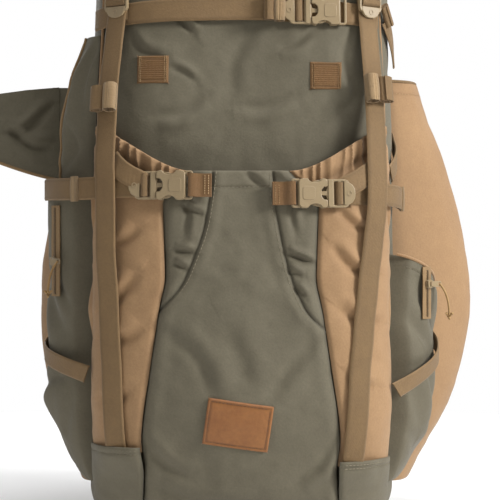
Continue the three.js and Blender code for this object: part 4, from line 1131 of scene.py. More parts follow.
def scroll(name, matrix, turn, radius=9.5, width=27, squeeze=0.62, turns=2.3, mat=None, body="bag"):
    """Rolled strap tail: a flattened spiral of webbing whose axis lies across the strap."""
    t = np.linspace(0, 1, 110)
    angle = turn * 2 * np.pi * turns * t
    r = 2.2 + (radius - 2.2) * t
    x, h = r * np.cos(angle), r * np.sin(angle) * squeeze + radius * squeeze + 1.2
    across = BAND_COLUMNS * width / 2
    p = np.stack([np.broadcast_to(x[:, None], (110, 7)), np.broadcast_to(across[None], (110, 7)),
                  np.broadcast_to(h[:, None], (110, 7))], -1)
    n = np.stack([np.cos(angle), 0 * angle, np.sin(angle)], 1)
    p = placed(p.reshape(-1, 3), matrix).reshape(110, 7, 3)
    n = (n @ matrix[:3, :3].T)[:, None] * np.ones((1, 7, 1))
    a, b = np.meshgrid(np.linspace(0, 110, 110), across, indexing="ij")
    return sheet(name, p, mat or WEB, 1.4, uv=(b, a), outward=n, slot="webbing", body=body)


def keeper(name, matrix, half=8.5, height=12.5, width=31, mat=None, body="bag"):
    """Elastic band around a rolled tail."""
    angle = np.linspace(0, 2 * np.pi, 64, endpoint=False)
    c, s = np.cos(angle), np.sin(angle)
    x = half * np.sign(c) * np.abs(c) ** 0.7
    h = height / 2 * np.sign(s) * np.abs(s) ** 0.7 + height / 2 + 0.5
    across = np.array([-1, -0.97, -0.85, -0.4, 0, 0.4, 0.85, 0.97, 1]) * width / 2
    bulge = 0.8 * (1 - (across / (width / 2)) ** 4)
    p = np.stack([x[:, None] + np.sign(c)[:, None] * bulge[None], np.broadcast_to(across[None], (64, 9)),
                  np.broadcast_to(h[:, None], (64, 9)) + s[:, None] * bulge[None]], -1)
    outward = np.stack([c, 0 * c, s], 1)[:, None] * np.ones((1, 9, 1))
    outward = (outward.reshape(-1, 3) @ matrix[:3, :3].T).reshape(64, 9, 3)
    p = placed(p.reshape(-1, 3), matrix).reshape(64, 9, 3)
    a, b = np.meshgrid(np.linspace(0, 60, 64), across, indexing="ij")
    return sheet(name, p, mat or ELASTIC, 1.2, loop=True, uv=(a, b), outward=outward, slot="webbing",
                 body=body)


def shifted(matrix, x=0, y=0, z=0):
    out = matrix.copy()
    out[:3, 3] += matrix[:3, :3] @ np.array([x, y, z], float)
    return out


def on_strap(points, height=None, x=None):
    """Frame on a strap's face at a height or an x: X to the bag's right, Y along +Z, Z outward."""
    middle = points[:, points.shape[1] // 2]
    k = int(np.argmin(np.abs(middle[:, 2] - height))) if height is not None else int(
        np.argmin(np.abs(middle[:, 0] - x)))
    across = points[k, -1] - points[k, 0]
    along = middle[min(k + 3, len(middle) - 1)] - middle[max(k - 3, 0)]
    n = np.cross(across, along)
    n /= np.linalg.norm(n)
    if n[1] > 0:
        n = -n
    up = along if height is not None else across
    up = up / np.linalg.norm(up) * np.sign(up[2])
    right = np.cross(up, n)
    m = np.eye(4)
    m[:3, 0], m[:3, 1], m[:3, 2], m[:3, 3] = right, up, n, middle[k]
    return m


for label, height, hand in (("left", 492, -1), ("right", 503, 1)):
    spot = on_strap(LONG_POINTS[label], height=height)
    scroll(f"{label}_rolled_tail", shifted(spot, 9 * hand), hand, 10.5, 28)
    keeper(f"{label}_tail_keeper", shifted(spot, -8 * hand), 7, 13, 31)
keeper("left_strap_keeper", shifted(on_strap(LEFT_FRONT, x=-184), z=-2.6), 5.5, 4.2, 28)
keeper("right_strap_keeper", shifted(on_strap(RIGHT_FRONT, x=190), z=-2.6), 4.5, 4.6, 28)
spot = on_strap(COLLAR_POINTS, x=36)
scroll("collar_rolled_tail", shifted(spot, -5), 1, 8.5, 27)
keeper("collar_tail_keeper", shifted(spot, 6), 6, 11.5, 29)
spot = seat(1, 286, 235, 0, [-12, 12], 2)
scroll("lower_rolled_tail", spot, 1, 8, 22)
spot = seat(1, 178, 592, 0.6, [-12, 12], 3)
scroll("top_rolled_tail", spot, 1, 8, 25)


# ---------------------------------------------------------------- moulded buckles
def plate(points, holes, z0, z1, bevel=0.6):
    """Vertices and faces of a rounded moulding: an outline with holes, with bevelled edges (millimetres)."""
    curve = bpy.data.curves.new("outline", "CURVE")
    curve.dimensions = "2D"
    curve.fill_mode = "BOTH"
    curve.extrude = (z1 - z0) / 2 - bevel
    curve.bevel_depth = bevel
    curve.bevel_resolution = 2
    curve.offset = -bevel
    for loop in [points, *holes]:
        line = curve.splines.new("POLY")
        line.points.add(len(loop) - 1)
        line.points.foreach_set("co", np.array([(x, y, 0, 1) for x, y in loop], float).ravel())
        line.use_cyclic_u = True
    obj = bpy.data.objects.new("outline", curve)
    mesh = obj.to_mesh()
    verts = np.array([v.co for v in mesh.vertices], float).reshape(-1, 3)
    faces = [list(p.vertices) for p in mesh.polygons]
    obj.to_mesh_clear()
    bpy.data.objects.remove(obj)
    bpy.data.curves.remove(curve)
    verts[:, 2] += (z0 + z1) / 2
    return verts, faces


def rounded(x0, x1, y0, y1, r, n=6):
    out = []
    for cx, cy, start in ((x1 - r, y0 + r, -90), (x1 - r, y1 - r, 0), (x0 + r, y1 - r, 90),
                          (x0 + r, y0 + r, 180)):
        for k in range(n + 1):
            a = math.radians(start + 90 * k / n)
            out.append((cx + r * math.cos(a), cy + r * math.sin(a)))
    return out


def both_sides(upper):
    """Outline from its upper half, given from left to right."""
    return [(x, -y) for x, y in upper] + [(x, y) for x, y in reversed(upper)]


def waist(x0, x1, y, depth, n=14):
    """Points of an edge at height y with a smooth notch between x0 and x1."""
    t = np.linspace(0, 1, n)
    return [(mix(x0, x1, k), y - depth * math.sin(math.pi * k) ** 0.6) for k in t]


def female_solid():
    pile = Pile()
    top = [(-32, 13), (-30, 15.4), (-27, 16), *waist(-22, -6, 16, 4.4), (-3, 16), (-0.8, 15), (0, 12.5)]
    mouth = [(0, 7.5), (-4, 7), (-6.5, 4), (-7.2, 0)]
    half = top + mouth
    pile.add(*plate([(x, -y) for x, y in half] + [(x, y) for x, y in reversed(half[:-1])], [], 7.0, 9.6, 0.8))
    pile.add(*plate(both_sides(top), [], 0.0, 2.3, 0.7))
    pile.add(*plate(rounded(-31.5, -20, -15.6, 15.6, 3), [], 1.5, 8.2, 0.4))
    for y in (1, -1):
        pile.add(*plate(rounded(-5.6, -0.4, min(13 * y, 15.7 * y), max(13 * y, 15.7 * y), 1), [], 1.5, 8.2,
                        0.4))
    pile.add(*plate(rounded(-40, -29, -16, 16, 3.4), [rounded(-37.2, -33, -13.4, 13.4, 1)], 2.8, 6.8, 0.8))
    pile.add(*plate(rounded(-28, -14, -7.5, 7.5, 3), [], 9.0, 10.1, 0.4))
    return pile


def male_solid():
    pile = Pile()
    half = 15.5
    outline = [(0.4, 8), (-9, 8.0), (-14, 8.4), (-16.6, 10), (-16.2, 12.6), (-12, 14.3), (-7, 14.6),
               (-3, 13.2),
               (-0.4, half - 0.3), (2, half), (21, half), (24, 14), (25, 11)]
    lower = [(x, -y) for x, y in outline]
    loop = [(-15, 0.1), (-15, 2.2), (-1, 2.6), *outline, *reversed(lower), (-1, -2.6), (-15, -2.2)]
    holes = [rounded(7.8, 12.4, -13, 13, 1), rounded(15.6, 20.4, -13, 13, 1)]
    pile.add(*plate(loop, holes, 2.5, 6.9, 0.7))
    pile.add(*plate(rounded(1.0, 6.6, -15.2, 15.2, 2), [], 6.2, 8.2, 0.6))
    tab = both_sides([(19, 13), (24, 12.6), (29, 9.5), (31.5, 5), (32, 0.5)])
    pile.add(*plate(tab, [], 4.0, 7.4, 0.9))
    ring = [(25.2 + 3.0 * math.cos(a), 3.0 * math.sin(a))
            for a in np.linspace(0, 2 * np.pi, 24, endpoint=False)]
    hole = [(25.2 + 1.9 * math.cos(a), 1.9 * math.sin(a))
            for a in np.linspace(0, 2 * np.pi, 24, endpoint=False)]
    pile.add(*plate(ring, [hole], 7.0, 7.9, 0.15))
    return pile


def local_band(path, width, thickness, matrix, count=60):
    """Webbing along a side-on path in a buckle's frame."""
    line = catmull(path, count)
    t = np.gradient(line, axis=0)
    t /= np.linalg.norm(t, axis=1, keepdims=True)
    n = np.stack([-t[:, 1], t[:, 0]], 1)
    across = np.array([-1, -0.96, -0.8, -0.4, 0, 0.4, 0.8, 0.96, 1]) * width / 2
    edge = np.where(np.abs(across) > 0.95 * width / 2, thickness * 0.35, thickness / 2)
    x = line[:, 0:1] + n[:, 0:1] * edge
    h = line[:, 1:2] + n[:, 1:2] * edge
    p = np.stack([x, np.broadcast_to(across, x.shape), h], -1)
    outward = np.stack([n[:, 0:1] + 0 * edge, 0 * x, n[:, 1:2] + 0 * edge], -1)
    p = placed(p.reshape(-1, 3), matrix).reshape(p.shape)
    outward = (outward.reshape(-1, 3) @ matrix[:3, :3].T).reshape(p.shape)
    a, b = np.meshgrid(np.linspace(0, count * 1.5, count), across, indexing="ij")
    return p, outward, (b, a)


FEMALE, MALE = female_solid(), male_solid()


def buckle(name, matrix, female_body, male_body, wrap=True):
    for part, pile, body in (("female", FEMALE, female_body), ("male", MALE, male_body)):
        verts = placed(np.vstack(pile.verts), matrix)
        make(f"{name}_{part}_moulding", verts, pile.faces, PLASTIC, body=body, nodes=[f"{name}_{part}"],
             slot="buckle_plastic", sharp=50)
    if wrap:
        path = [(34, 1.2), (26, 1.4), (21.5, 2.0), (18.6, 4.6), (16.2, 7.8), (13.8, 8.2), (11.2, 6.8),
                (10.0, 3.6),
                (7.0, 1.8), (2, 1.3)]
        p, outward, uv = local_band(path, 24.6, 1.3, matrix)
        sheet(f"{name}_male_webbing", p, WEB, 1.2, uv=uv, outward=outward, body=male_body, slot="webbing")


SPAN = [-58, 27]
SEATS = {
    "left_buckle": seat(-1, 86, 395, 0, SPAN, 5.4),
    "right_buckle": seat(1, 88, 386, 0, SPAN, 5.4),
    "collar_buckle": seat(1, 80, 592, math.pi, [-42, 27], 3.4),
    "lid_left_buckle": seat(-1, 141, 617, -math.pi / 2, [-20, 27], 8),
    "lid_right_buckle": seat(1, 146, 617, -math.pi / 2, [-20, 27], 8),
}
BODIES = {"left_buckle": ("bag", "left_male"), "right_buckle": ("bag", "right_male"),
          "collar_buckle": ("bag", "collar_male"), "lid_left_buckle": ("lid", "lid_left_male"),
          "lid_right_buckle": ("lid", "lid_right_male")}
for label, spot in SEATS.items():
    buckle(label, spot, *BODIES[label])

for label in ("left", "right"):
    spot = SEATS[f"{label}_buckle"]
    path = [(-60, 0.2), (-48, 0.4), (-39.5, 0.7), (-36.6, 2.4), (-35.4, 4.75), (-35.8, 7.4), (-38.4, 8.6),
            (-42, 7.4),
            (-46, 4.2), (-50, 2.6), (-60, 2.4)]
    p, outward, uv = local_band(path, 25.4, 1.4, spot, 90)
    sheet(f"{label}_anchor_webbing_cloth", p, WEB_RIB, 1.3, uv=uv, outward=outward,
          nodes=[f"{label}_anchor_webbing"], slot="webbing")
    n = np.tile(spot[:3, 2], (20, 1))
    for x in (-57, -53):
        line = placed(np.stack([np.full(20, float(x)), np.linspace(-11.5, 11.5, 20), np.full(20, 3.4)], 1),
                      spot)
        stitch(tan_thread, line, n, 1.8, 0.9)


# ---------------------------------------------------------------- sewn squares and the leather patch
def flat_patch(name, matrix, half_x, half_y, thick, mat, node, slot, corner=3, ribs=0.0, wear=0.0,
               follow=None):
    """Sewn plate bent over the skin, with rounded edges."""
    nx, ny = 60, 50
    a, b = np.meshgrid(edged(nx, 0.4, 1.4, 2 * half_x) * 2 - 1, edged(ny, 0.4, 1.4, 2 * half_y) * 2 - 1,
                       indexing="ij")
    x, y = a * half_x, b * half_y
    inset = np.sqrt(np.maximum(0, (np.abs(x) - half_x + corner).clip(0) ** 2
                               + (np.abs(y) - half_y + corner).clip(0) ** 2))
    scale = np.where(inset > corner, corner / np.maximum(inset, 1e-6), 1)
    x = np.where(inset > 0, np.sign(x) * (np.minimum(np.abs(x), half_x - corner)
                                          + (np.abs(x) - half_x + corner).clip(0) * scale), x)
    y = np.where(inset > 0, np.sign(y) * (np.minimum(np.abs(y), half_y - corner)
                                          + (np.abs(y) - half_y + corner).clip(0) * scale), y)
    border = np.minimum(half_x - np.abs(x), half_y - np.abs(y))
    h = thick - thick * 0.6 * np.exp(-(border / 0.7) ** 2) + ribs * np.sin(
        y * 2 * np.pi / 2.4) * smooth((border - 2) / 2)
    h = h - 0.5 * np.exp(-((border - 3.4) / 0.9) ** 2) + wear * wrinkles(x, y, 16, 151, 2)
    if follow is not None:
        h = h + follow(x, y)
    p = placed(np.stack([x, y, h], -1).reshape(-1, 3), matrix).reshape(*x.shape, 3)
    shade = 0.6 * np.exp(-(border / 1.2) ** 2) - 0.45 * np.exp(-((border - 3.4) / 1.2) ** 2)
    sheet(name, p, mat, thick, uv=(x, y), shade=shade, outward=np.broadcast_to(matrix[:3, 2], p.shape),
          nodes=[node], slot=slot)


def patch_frame(s, z, tilt, lift, base):
    """Frame at a point of a surface, and the surface's height over that frame."""
    ca, sa = math.cos(tilt), math.sin(tilt)

    def at(x, y):
        return base(s + ca * x - sa * y, z + sa * x + ca * y)

    o = at(np.array(0.0), np.array(0.0))
    x = at(np.array(8.0), np.array(0.0)) - at(np.array(-8.0), np.array(0.0))
    x /= np.linalg.norm(x)
    y = at(np.array(0.0), np.array(8.0)) - at(np.array(0.0), np.array(-8.0))
    n = np.cross(x, y)
    n /= np.linalg.norm(n)
    if n[1] > 0:
        n = -n
    y = np.cross(n, x)
    m = np.eye(4)
    m[:3, 0], m[:3, 1], m[:3, 2], m[:3, 3] = x, y, n, o + n * lift

    def follow(px, py):
        q = at(px, py) - o
        return q @ n

    return m, follow


for label, hand, s, z in (("left", -1, 100, 527), ("right", 1, 96, 520)):
    def ground(a, b, side=hand):
        return bag(side, a, b, 3.0)

    spot, over = patch_frame(s, z, 0, 0.2, ground)
    flat_patch(f"{label}_attachment_square", spot, 18, 15.5, 2.2, WEB_RIB, f"attachment_square_{label}",
               "webbing",
               0.8, 0.35, 0.0, over)
    n = np.tile(spot[:3, 2], (30, 1))
    for edge in (-1, 1):
        zig = np.linspace(-15.5, 15.5, 30)
        for gap, amp in ((15.4, 0.9), (13.6, -0.9)):
            xs = edge * (gap + amp * 0.4 * (-1.0) ** np.arange(30))
            hs = over(xs, zig) + 2.3
            line = placed(np.stack([xs, zig, hs], 1), spot)
            stitch(tan_thread, line, n, 1.6, 0.5, 0.6)


def patch_ground(a, b):
    return bag(1, a, b, pocket_off(np.asarray(a, float), np.asarray(b, float)) + 1.2)


spot, over = patch_frame(-3, 134, -0.14, 0.4, patch_ground)
flat_patch("plain_leather_patch", spot, 36, 26, 2.0, LEATHER, "leather_patch", "leather", 2.2, 0.0, 0.35,
           over)
for points in (((-32.6, -22.6), (32.6, -22.6)), ((-32.6, 22.6), (32.6, 22.6)),
               ((-32.6, -22.6), (-32.6, 22.6)),
               ((32.6, -22.6), (32.6, 22.6))):
    xy = mix(np.array(points[0]), np.array(points[1]), np.linspace(0, 1, 40)[:, None])
    line = placed(np.stack([xy[:, 0], xy[:, 1], over(xy[:, 0], xy[:, 1]) + 1.7], 1), spot)
    stitch(dark_thread, line, np.tile(spot[:3, 2], (40, 1)), 2.6, 1.3, 0.8)


# ---------------------------------------------------------------- zips
ZIPS = {
    "left": (-1, 200, (272, 376), 312, "left_slider"),
    "right": (1, 200, (246, 306), 286, "right_slider"),
}


def zip_line(label):
    side, s, (z0, z1), slider, body = ZIPS[label]
    node = f"{label}_zipper"
    base = seat(side, s, (z0 + z1) / 2, math.pi / 2, [-(z1 - z0) / 2, (z1 - z0) / 2], 1.2)
    half = (z1 - z0) / 2
    a, b = np.meshgrid(edged(120, 0.4, 1.4, 2 * half) * 2 - 1,
                       np.array([-1, -0.95, -0.6, -0.25, -0.12, 0.12, 0.25, 0.6, 0.95, 1]),
                       indexing="ij")
    x, y = a * half, b * 8.5
    h = 1.2 + 0.25 * noise(x / 12, y / 8, 161) - 0.5 * (np.abs(b) > 0.9)
    p = placed(np.stack([x, y, h], -1).reshape(-1, 3), base).reshape(*x.shape, 3)
    sheet(f"{label}_zip_tape", p, TAPE, 1.2, uv=(x, y), outward=np.broadcast_to(base[:3, 2], p.shape),
          nodes=[node],
          slot="zipper_tape")
    teeth = Pile()
    box_faces = [[0, 1, 2, 3], [7, 6, 5, 4], [0, 4, 5, 1], [1, 5, 6, 2], [2, 6, 7, 3], [3, 7, 4, 0]]
    for k, x in enumerate(np.arange(-half + 3, half - 3, 1.5)):
        shift = 0.45 if k % 2 else -0.45
        corners = [(x - 0.45, shift - 1.9, 1.1), (x + 0.45, shift - 1.9, 1.1), (x + 0.45, shift + 1.9, 1.1),
                   (x - 0.45, shift + 1.9, 1.1), (x - 0.3, shift - 1.5, 2.5), (x + 0.3, shift - 1.5, 2.5),
                   (x + 0.3, shift + 1.5, 2.5), (x - 0.3, shift + 1.5, 2.5)]
        teeth.add(placed(corners, base), [f[::-1] for f in box_faces])
    teeth.make(f"{label}_zip_teeth", COIL, slot="zipper_tape")
    spot = shifted(base, slider - (z0 + z1) / 2, 0, 1)
    body_pile = Pile()
    outline = both_sides([(-4.6, 2.5), (-3.6, 4.2), (1.5, 5.2), (4.2, 4.6), (4.8, 2.4), (4.9, 0.3)])
    body_pile.add(*plate(outline, [], 1.4, 2.6, 0.4))
    body_pile.add(*plate(outline, [], 3.6, 4.8, 0.4))
    body_pile.add(*plate(rounded(-4.5, 4.5, -1.2, 1.2, 0.8), [], 2.0, 4.4, 0.3))
    body_pile.add(*plate(rounded(-2.5, 3.0, -1.3, 1.3, 0.8), [], 4.6, 6.6, 0.4))
    tab = [(x, y) for x, y in rounded(-3.2, 3.2, -20, -1, 2.2)]
    body_pile.add(*plate(tab, [rounded(-1.6, 1.6, -18.2, -13.6, 1.2)], 5.0, 6.6, 0.4))
    verts = placed(np.vstack(body_pile.verts), spot)
    make(f"{label}_zip_slider", verts, body_pile.faces, PLASTIC, body=body, nodes=[f"{label}_zipper_slider"],
         slot="buckle_plastic", sharp=50)
    return spot, body


def pull_cord(label, spot, body, sway):
    """Short cord from the slider's tab: a single strand that hangs to one knot."""
    start = placed([[0.0, -16.0, 6.8]], spot)[0]
    out = spot[:3, 2]
    steps = np.linspace(0, 1, 26)
    end = start + np.array([sway * 12, 0, -36]) + out * 1.5
    mid = start + np.array([sway * 9, 0, -13]) + out * 4.5
    line = np.array([(1 - t) ** 2 * start + 2 * t * (1 - t) * mid + t * t * end for t in steps])
    curve = bpy.data.curves.new(f"{label}_pull_cord", "CURVE")
    curve.dimensions = "3D"
    curve.bevel_depth = 1.3 * MM
    curve.bevel_resolution = 3
    curve.use_fill_caps = True
    spline = curve.splines.new("POLY")
    spline.points.add(len(line) - 1)
    spline.points.foreach_set("co", np.c_[line * MM, np.ones(len(line))].ravel())
    curve.materials.append(CORD)
    obj = bpy.data.objects.new(f"{label}_pull_cord", curve)
    bpy.context.scene.collection.objects.link(obj)
    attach(obj, body)
    t = np.linspace(0, 2 * np.pi, 60)
    knot = end + np.stack([3.0 * np.sin(t) + 1.4 * np.sin(2 * t), 2.0 * np.cos(3 * t),
                           3.0 * np.cos(t) - 1.4 * np.cos(2 * t)], 1)
    verts, faces = tube_mesh(knot, 1.3)
    knot_piece = make(f"{label}_pull_knot", verts, faces, CORD, body=body, slot="webbing")


for label, sway in (("left", -0.8), ("right", 0.8)):
    pull_cord(label, *zip_line(label), sway)


# ---------------------------------------------------------------- trim along the side seams
def front_ground(a, b):
    return bag(1, a, b, 1.5)


for label, hand in (("left", -1), ("right", 1)):
    piping(f"{label}_side_piping", front_ground, [(hand * 172, 470), (hand * 172, 540), (hand * 172, 640)],
           1.7,
           TAN, 1.2, slot="coyote_fabric")


# ---------------------------------------------------------------- lid
LID_X, LID_Y, LID_CY, LID_Z = 168, 128, -28, 672
LID_SEAM = 112


def lid_plan(u, v):
    return LID_X * u * np.sqrt(1 - 0.24 * v * v), LID_CY + LID_Y * v * np.sqrt(1 - 0.24 * u * u)


def lid():
    grid = np.sin(np.linspace(-np.pi / 2, np.pi / 2, 150))
    u, v = np.meshgrid(grid, grid, indexing="ij")
    x, y = lid_plan(u, v)
    rise = 58 * np.sqrt(np.maximum(0, (1 - np.abs(u) ** 5) * (1 - np.abs(v) ** 5)))
    slit = 12 * smooth((-v - 0.8) / 0.15) * smooth((0.75 - np.abs(u)) / 0.1)
    inside = smooth(rise / 26)
    relief = 2.4 * wrinkles(x, y, 85, 171) + 0.8 * wrinkles(x, y, 24, 175, 2)
    relief += folds([([(-90, 40), (-50, 10), (-10, 8)], 9, 2.8), ([(100, -60), (60, -30), (20, -40)], 9, 2.6),
                     ([(-60, -90), (-20, -70), (40, -84)], 8, 2.4)], x, y)
    h = np.maximum(rise, slit) + relief * inside * 0.7 - 1.5
    for seam in (-LID_SEAM, LID_SEAM):
        h = h - 2.2 * np.exp(-((x - seam) / 2.0) ** 2) * inside
    p = np.stack([x, y, LID_Z + 4 + h + 2.5], -1)
    shade = -0.8 * (np.exp(-((x - LID_SEAM) / 2.2) ** 2) + np.exp(-((x + LID_SEAM) / 2.2) ** 2)) * inside
    thick = 2.2 * np.ones_like(u)
    sheet("lid_pocket_cloth", p, GREEN, thick, uv=(x, y), shade=shade,
          outward=np.broadcast_to(np.array([0, 0, 1.0]), p.shape), body="lid", nodes=["lid_pocket"],
          slot="green_fabric")
    p = np.stack([x, y, LID_Z + 3 - 0 * x], -1)
    sheet("lid_base_cloth", p, GREEN_DARK, 3.0, uv=(x, y),
          outward=np.broadcast_to(np.array([0, 0, 1.0]), p.shape),
          body="lid", nodes=["lid_base"], slot="green_fabric")
    t = np.linspace(-1, 1, 90)
    one = np.ones_like(t)
    ring = np.concatenate([np.stack(lid_plan(t, -one), 1), np.stack(lid_plan(one, t), 1),
                           np.stack(lid_plan(-t, one), 1), np.stack(lid_plan(-one, -t), 1)])
    verts, faces = tube_mesh(np.c_[ring, np.full(len(ring), LID_Z + 3.2)], 2.4)
    make("lid_edge_piping", verts, faces, TAN, body="lid", slot="coyote_fabric")
    for seam in (-LID_SEAM, LID_SEAM):
        for gap in (-4.5, 4.5):
            col = np.stack([np.full(60, seam + gap), np.linspace(-120, 66, 60)], 1)
            hh = []
            for a, b in col:
                i = np.unravel_index(np.argmin((x - a) ** 2 + (y - b) ** 2), x.shape)
                hh.append(LID_Z + 6.6 + h[i])
            line = np.c_[col, hh]
            stitch(lid_thread, line, np.tile([0, 0, 1.0], (60, 1)))
    for label in ("left", "right"):
        spot = SEATS[f"lid_{label}_buckle"]
        tail = placed([[-43, 0, 5]], spot)[0]
        path = np.array([[tail[0], -108, LID_Z + 1], [tail[0], -128, LID_Z + 1],
                         [tail[0], mix(-128, tail[1], 0.8), 668], [tail[0], tail[1], tail[2]],
                         [tail[0], tail[1] - 2, tail[2] - 12]])
        line = catmull(path, 50)
        d = np.gradient(line, axis=0)
        n = np.cross(np.array([1.0, 0, 0]), d)
        n /= np.linalg.norm(n, axis=1, keepdims=True)
        w = BAND_COLUMNS * 12.5
        q = line[:, None] + w[None, :, None] * np.array([1.0, 0, 0]) + n[:, None] * -0.7
        sheet(f"lid_{label}_tab_webbing", q, WEB, 1.5,
              uv=(np.broadcast_to(w, (50, 7)), np.linspace(0, 60, 50)[:, None]),
              outward=-n[:, None] * np.ones((1, 7, 1)), body="lid", slot="webbing")


lid_thread = Pile()
lid()
lid_thread.make("lid_stitching", THREAD, body="lid", slot="green_fabric")


# ---------------------------------------------------------------- harness
def frame_band(points, across, width, thickness, count, cols=27, power=3.0, crown=1.0):
    """Padded band along a curve: a closed rounded cross-section swept along it."""
    line = catmull(points, count)
    d = np.gradient(line, axis=0)
    d /= np.linalg.norm(d, axis=1, keepdims=True)
    side = np.array(across, float)[None] - d * (d @ np.array(across, float))[:, None]
    side /= np.linalg.norm(side, axis=1, keepdims=True)
    n = np.cross(side, d)
    t = np.linspace(0, 1, count)
    half = (width(t) if callable(width) else np.full(count, float(width))) / 2
    a = np.linspace(0, 2 * np.pi, cols * 2, endpoint=False)
    c, s = np.cos(a), np.sin(a)
    cx = np.sign(c) * np.abs(c) ** (2 / power)
    cy = np.sign(s) * np.abs(s) ** (2 / 2.4)
    ends = np.sqrt(np.clip(1 - np.clip(1 - np.minimum(t, 1 - t) * 14, 0, 1) ** 2, 0.04, 1))
    p = (line[:, None] + side[:, None] * (cx[None, :, None] * (half * ends ** 0.5)[:, None, None])
         + n[:, None] * (cy[None, :, None] * (thickness / 2 * ends * crown)[:, None, None]))
    return p, line, side, n, half, a


def band_piece(name, points, across, width, thickness, mat, count=120, quilts=0, binding=True, fill=0.6,
               **more):
    p, line, side, _, half, a = frame_band(points, across, width, thickness, count)
    at = np.r_[0, np.cumsum(np.linalg.norm(np.diff(line, axis=0), axis=1))]
    if quilts:
        phase = at / at[-1] * quilts
        dent = np.exp(-((phase - np.round(phase)) / 0.035) ** 2) * (np.abs(phase - np.round(phase)) < 0.3)
        dent = dent * ((np.round(phase) > 0) & (np.round(phase) < quilts))
        squash = 1 - 0.35 * dent[:, None, None]
        p = line[:, None] + (p - line[:, None]) * squash
    nu, nv = p.shape[:2]
    verts = p.reshape(-1, 3)
    faces = []
    for i in range(nu - 1):
        for j in range(nv):
            k = (j + 1) % nv
            faces.append([i * nv + j, (i + 1) * nv + j, (i + 1) * nv + k, i * nv + k])
    faces.append(list(range(nv)))
    faces.append([(nu - 1) * nv + j for j in range(nv)][::-1])
    if signed_volume(verts, faces) < 0:
        faces = [f[::-1] for f in faces]
    uv = np.stack([np.broadcast_to((a / (2 * np.pi) * (half[:, None] * 4)), (nu, nv)).ravel(),
                   np.broadcast_to(at[:, None], (nu, nv)).ravel()], 1)
    obj = make(name, verts, faces, mat, uv=uv, **more)
    if binding:
        for hand in (-1, 1):
            rim = line + side * (half * hand)[:, None]
            tv, tf = tube_mesh(rim[2:-2], 2.6)
            make(f"{name}_binding_{'a' if hand < 0 else 'b'}", tv, tf, WEB, body=more.get("body", "bag"),
                 slot="webbing")
    return obj


def signed_volume(verts, faces):
    total = 0.0
    for f in faces:
        for k in range(1, len(f) - 1):
            total += verts[f[0]] @ np.cross(verts[f[k]], verts[f[k + 1]])
    return total


def pad_block(name, x, y, z, mat, nodes, channels):
    """Pad against the back: crowned face with pressed channels (x positions are vertical channels)."""
    u, v = np.meshgrid(edged(90, 0.6, 2, x[1] - x[0]) * 2 - 1, edged(150, 0.6, 2, z[1] - z[0]) * 2 - 1,
                       indexing="ij")
    r = 0.16
    px = mix(x[0], x[1], (u * np.sqrt(1 - r * v ** 8 * 0.5) + 1) / 2)
    pz = mix(z[0], z[1], (v * np.sqrt(1 - r * u ** 8 * 0.3) + 1) / 2)
    dome = (np.maximum(0, (1 - u ** 6) * (1 - v ** 10))) ** 0.5
    depth = y[1] - y[0]
    top = y[0] + depth * (0.25 + 0.75 * dome)
    shade = np.zeros_like(top)
    for kind, value in channels:
        d = np.abs((px if kind == "x" else pz) - value)
        top = top - 0.34 * depth * np.exp(-(d / 3.4) ** 2) * dome
        shade = shade - 0.6 * np.exp(-(d / 3.0) ** 2)
    p = np.stack([px, top, pz], -1)
    obj = sheet(name, p, mat, top - y[0], uv=(px, pz), shade=shade, nodes=nodes, slot="padding",
                outward=np.broadcast_to(np.array([0, 1.0, 0]), p.shape))


pad_block("back_pad_cloth", (-46, 46), (111.6, 128), (230, 566), MESH, ["back_pad"],
          [("x", 0), ("z", 320), ("z", 400), ("z", 480)])
pad_block("lumbar_pad_cloth", (-96, 96), (117.2, 138), (56, 196), MESH, ["lumbar_pad"],
          [("x", -34), ("x", 34), ("z", 126)])

SHOULDER = [[50, 126, 592], [52, 152, 602], [56, 184, 575], [64, 199, 520], [76, 197, 450], [90, 182, 380],
            [102, 162, 322]]
SHOULDER_WEB = [[101, 165, 334], [106, 152, 280], [112, 138, 230], [118, 126, 196]]
BELT = [[101, 127, 112], [128, 142, 112], [154, 185, 110], [160, 240, 108], [142, 300, 106]]
BELT_WEB = [[146, 292, 106], [126, 322, 106], [98, 340, 106], [76, 344, 106]]


def mirrored(points, hand):
    return [[hand * x, y, z] for x, y, z in points]


def webbing_band(name, points, across, count, body):
    """Single webbing along a curve of the harness."""
    _, line, side, n, _, _ = frame_band(points, across, 25, 2.2, count, 9, 8)
    q = line[:, None] + side[:, None] * (BAND_COLUMNS * 12.5)[None, :, None] + n[:, None] * 0.8
    sheet(name, q, WEB, 1.6, outward=n[:, None] * np.ones((1, 7, 1)), body=body, slot="webbing")


for label, hand in (("left", -1), ("right", 1)):
    band_piece(f"{label}_shoulder_pad_cloth", mirrored(SHOULDER, hand), [1, 0, 0], 56, 14, MESH, 150, 5,
               body=f"{label}_shoulder", nodes=[f"{label}_shoulder_strap"], slot="padding")
    webbing_band(f"{label}_shoulder_adjuster_webbing", mirrored(SHOULDER_WEB, hand), [1, 0, 0], 60,
                 f"{label}_shoulder")
    band_piece(f"{label}_hip_belt_cloth", mirrored(BELT, hand), [0, 0, 1], lambda t: mix(110, 60, t), 14,
               MESH, 110, 4,
               body=f"{label}_belt", nodes=[f"{label}_hip_belt"], slot="padding")
    webbing_band(f"{label}_belt_webbing", mirrored(BELT_WEB, hand), [0, 0, 1], 50, f"{label}_belt")

HAUL = [[-42, 118, 650], [-36, 122, 632], [-17, 128, 619], [17, 128, 619], [36, 122, 632], [42, 118, 650]]
band_piece("haul_handle_cloth", HAUL, [0, 1, 0], 12, 5, WEB, 90, 0, binding=False, fill=0.9, body="haul",
           nodes=["haul_handle"], slot="webbing")


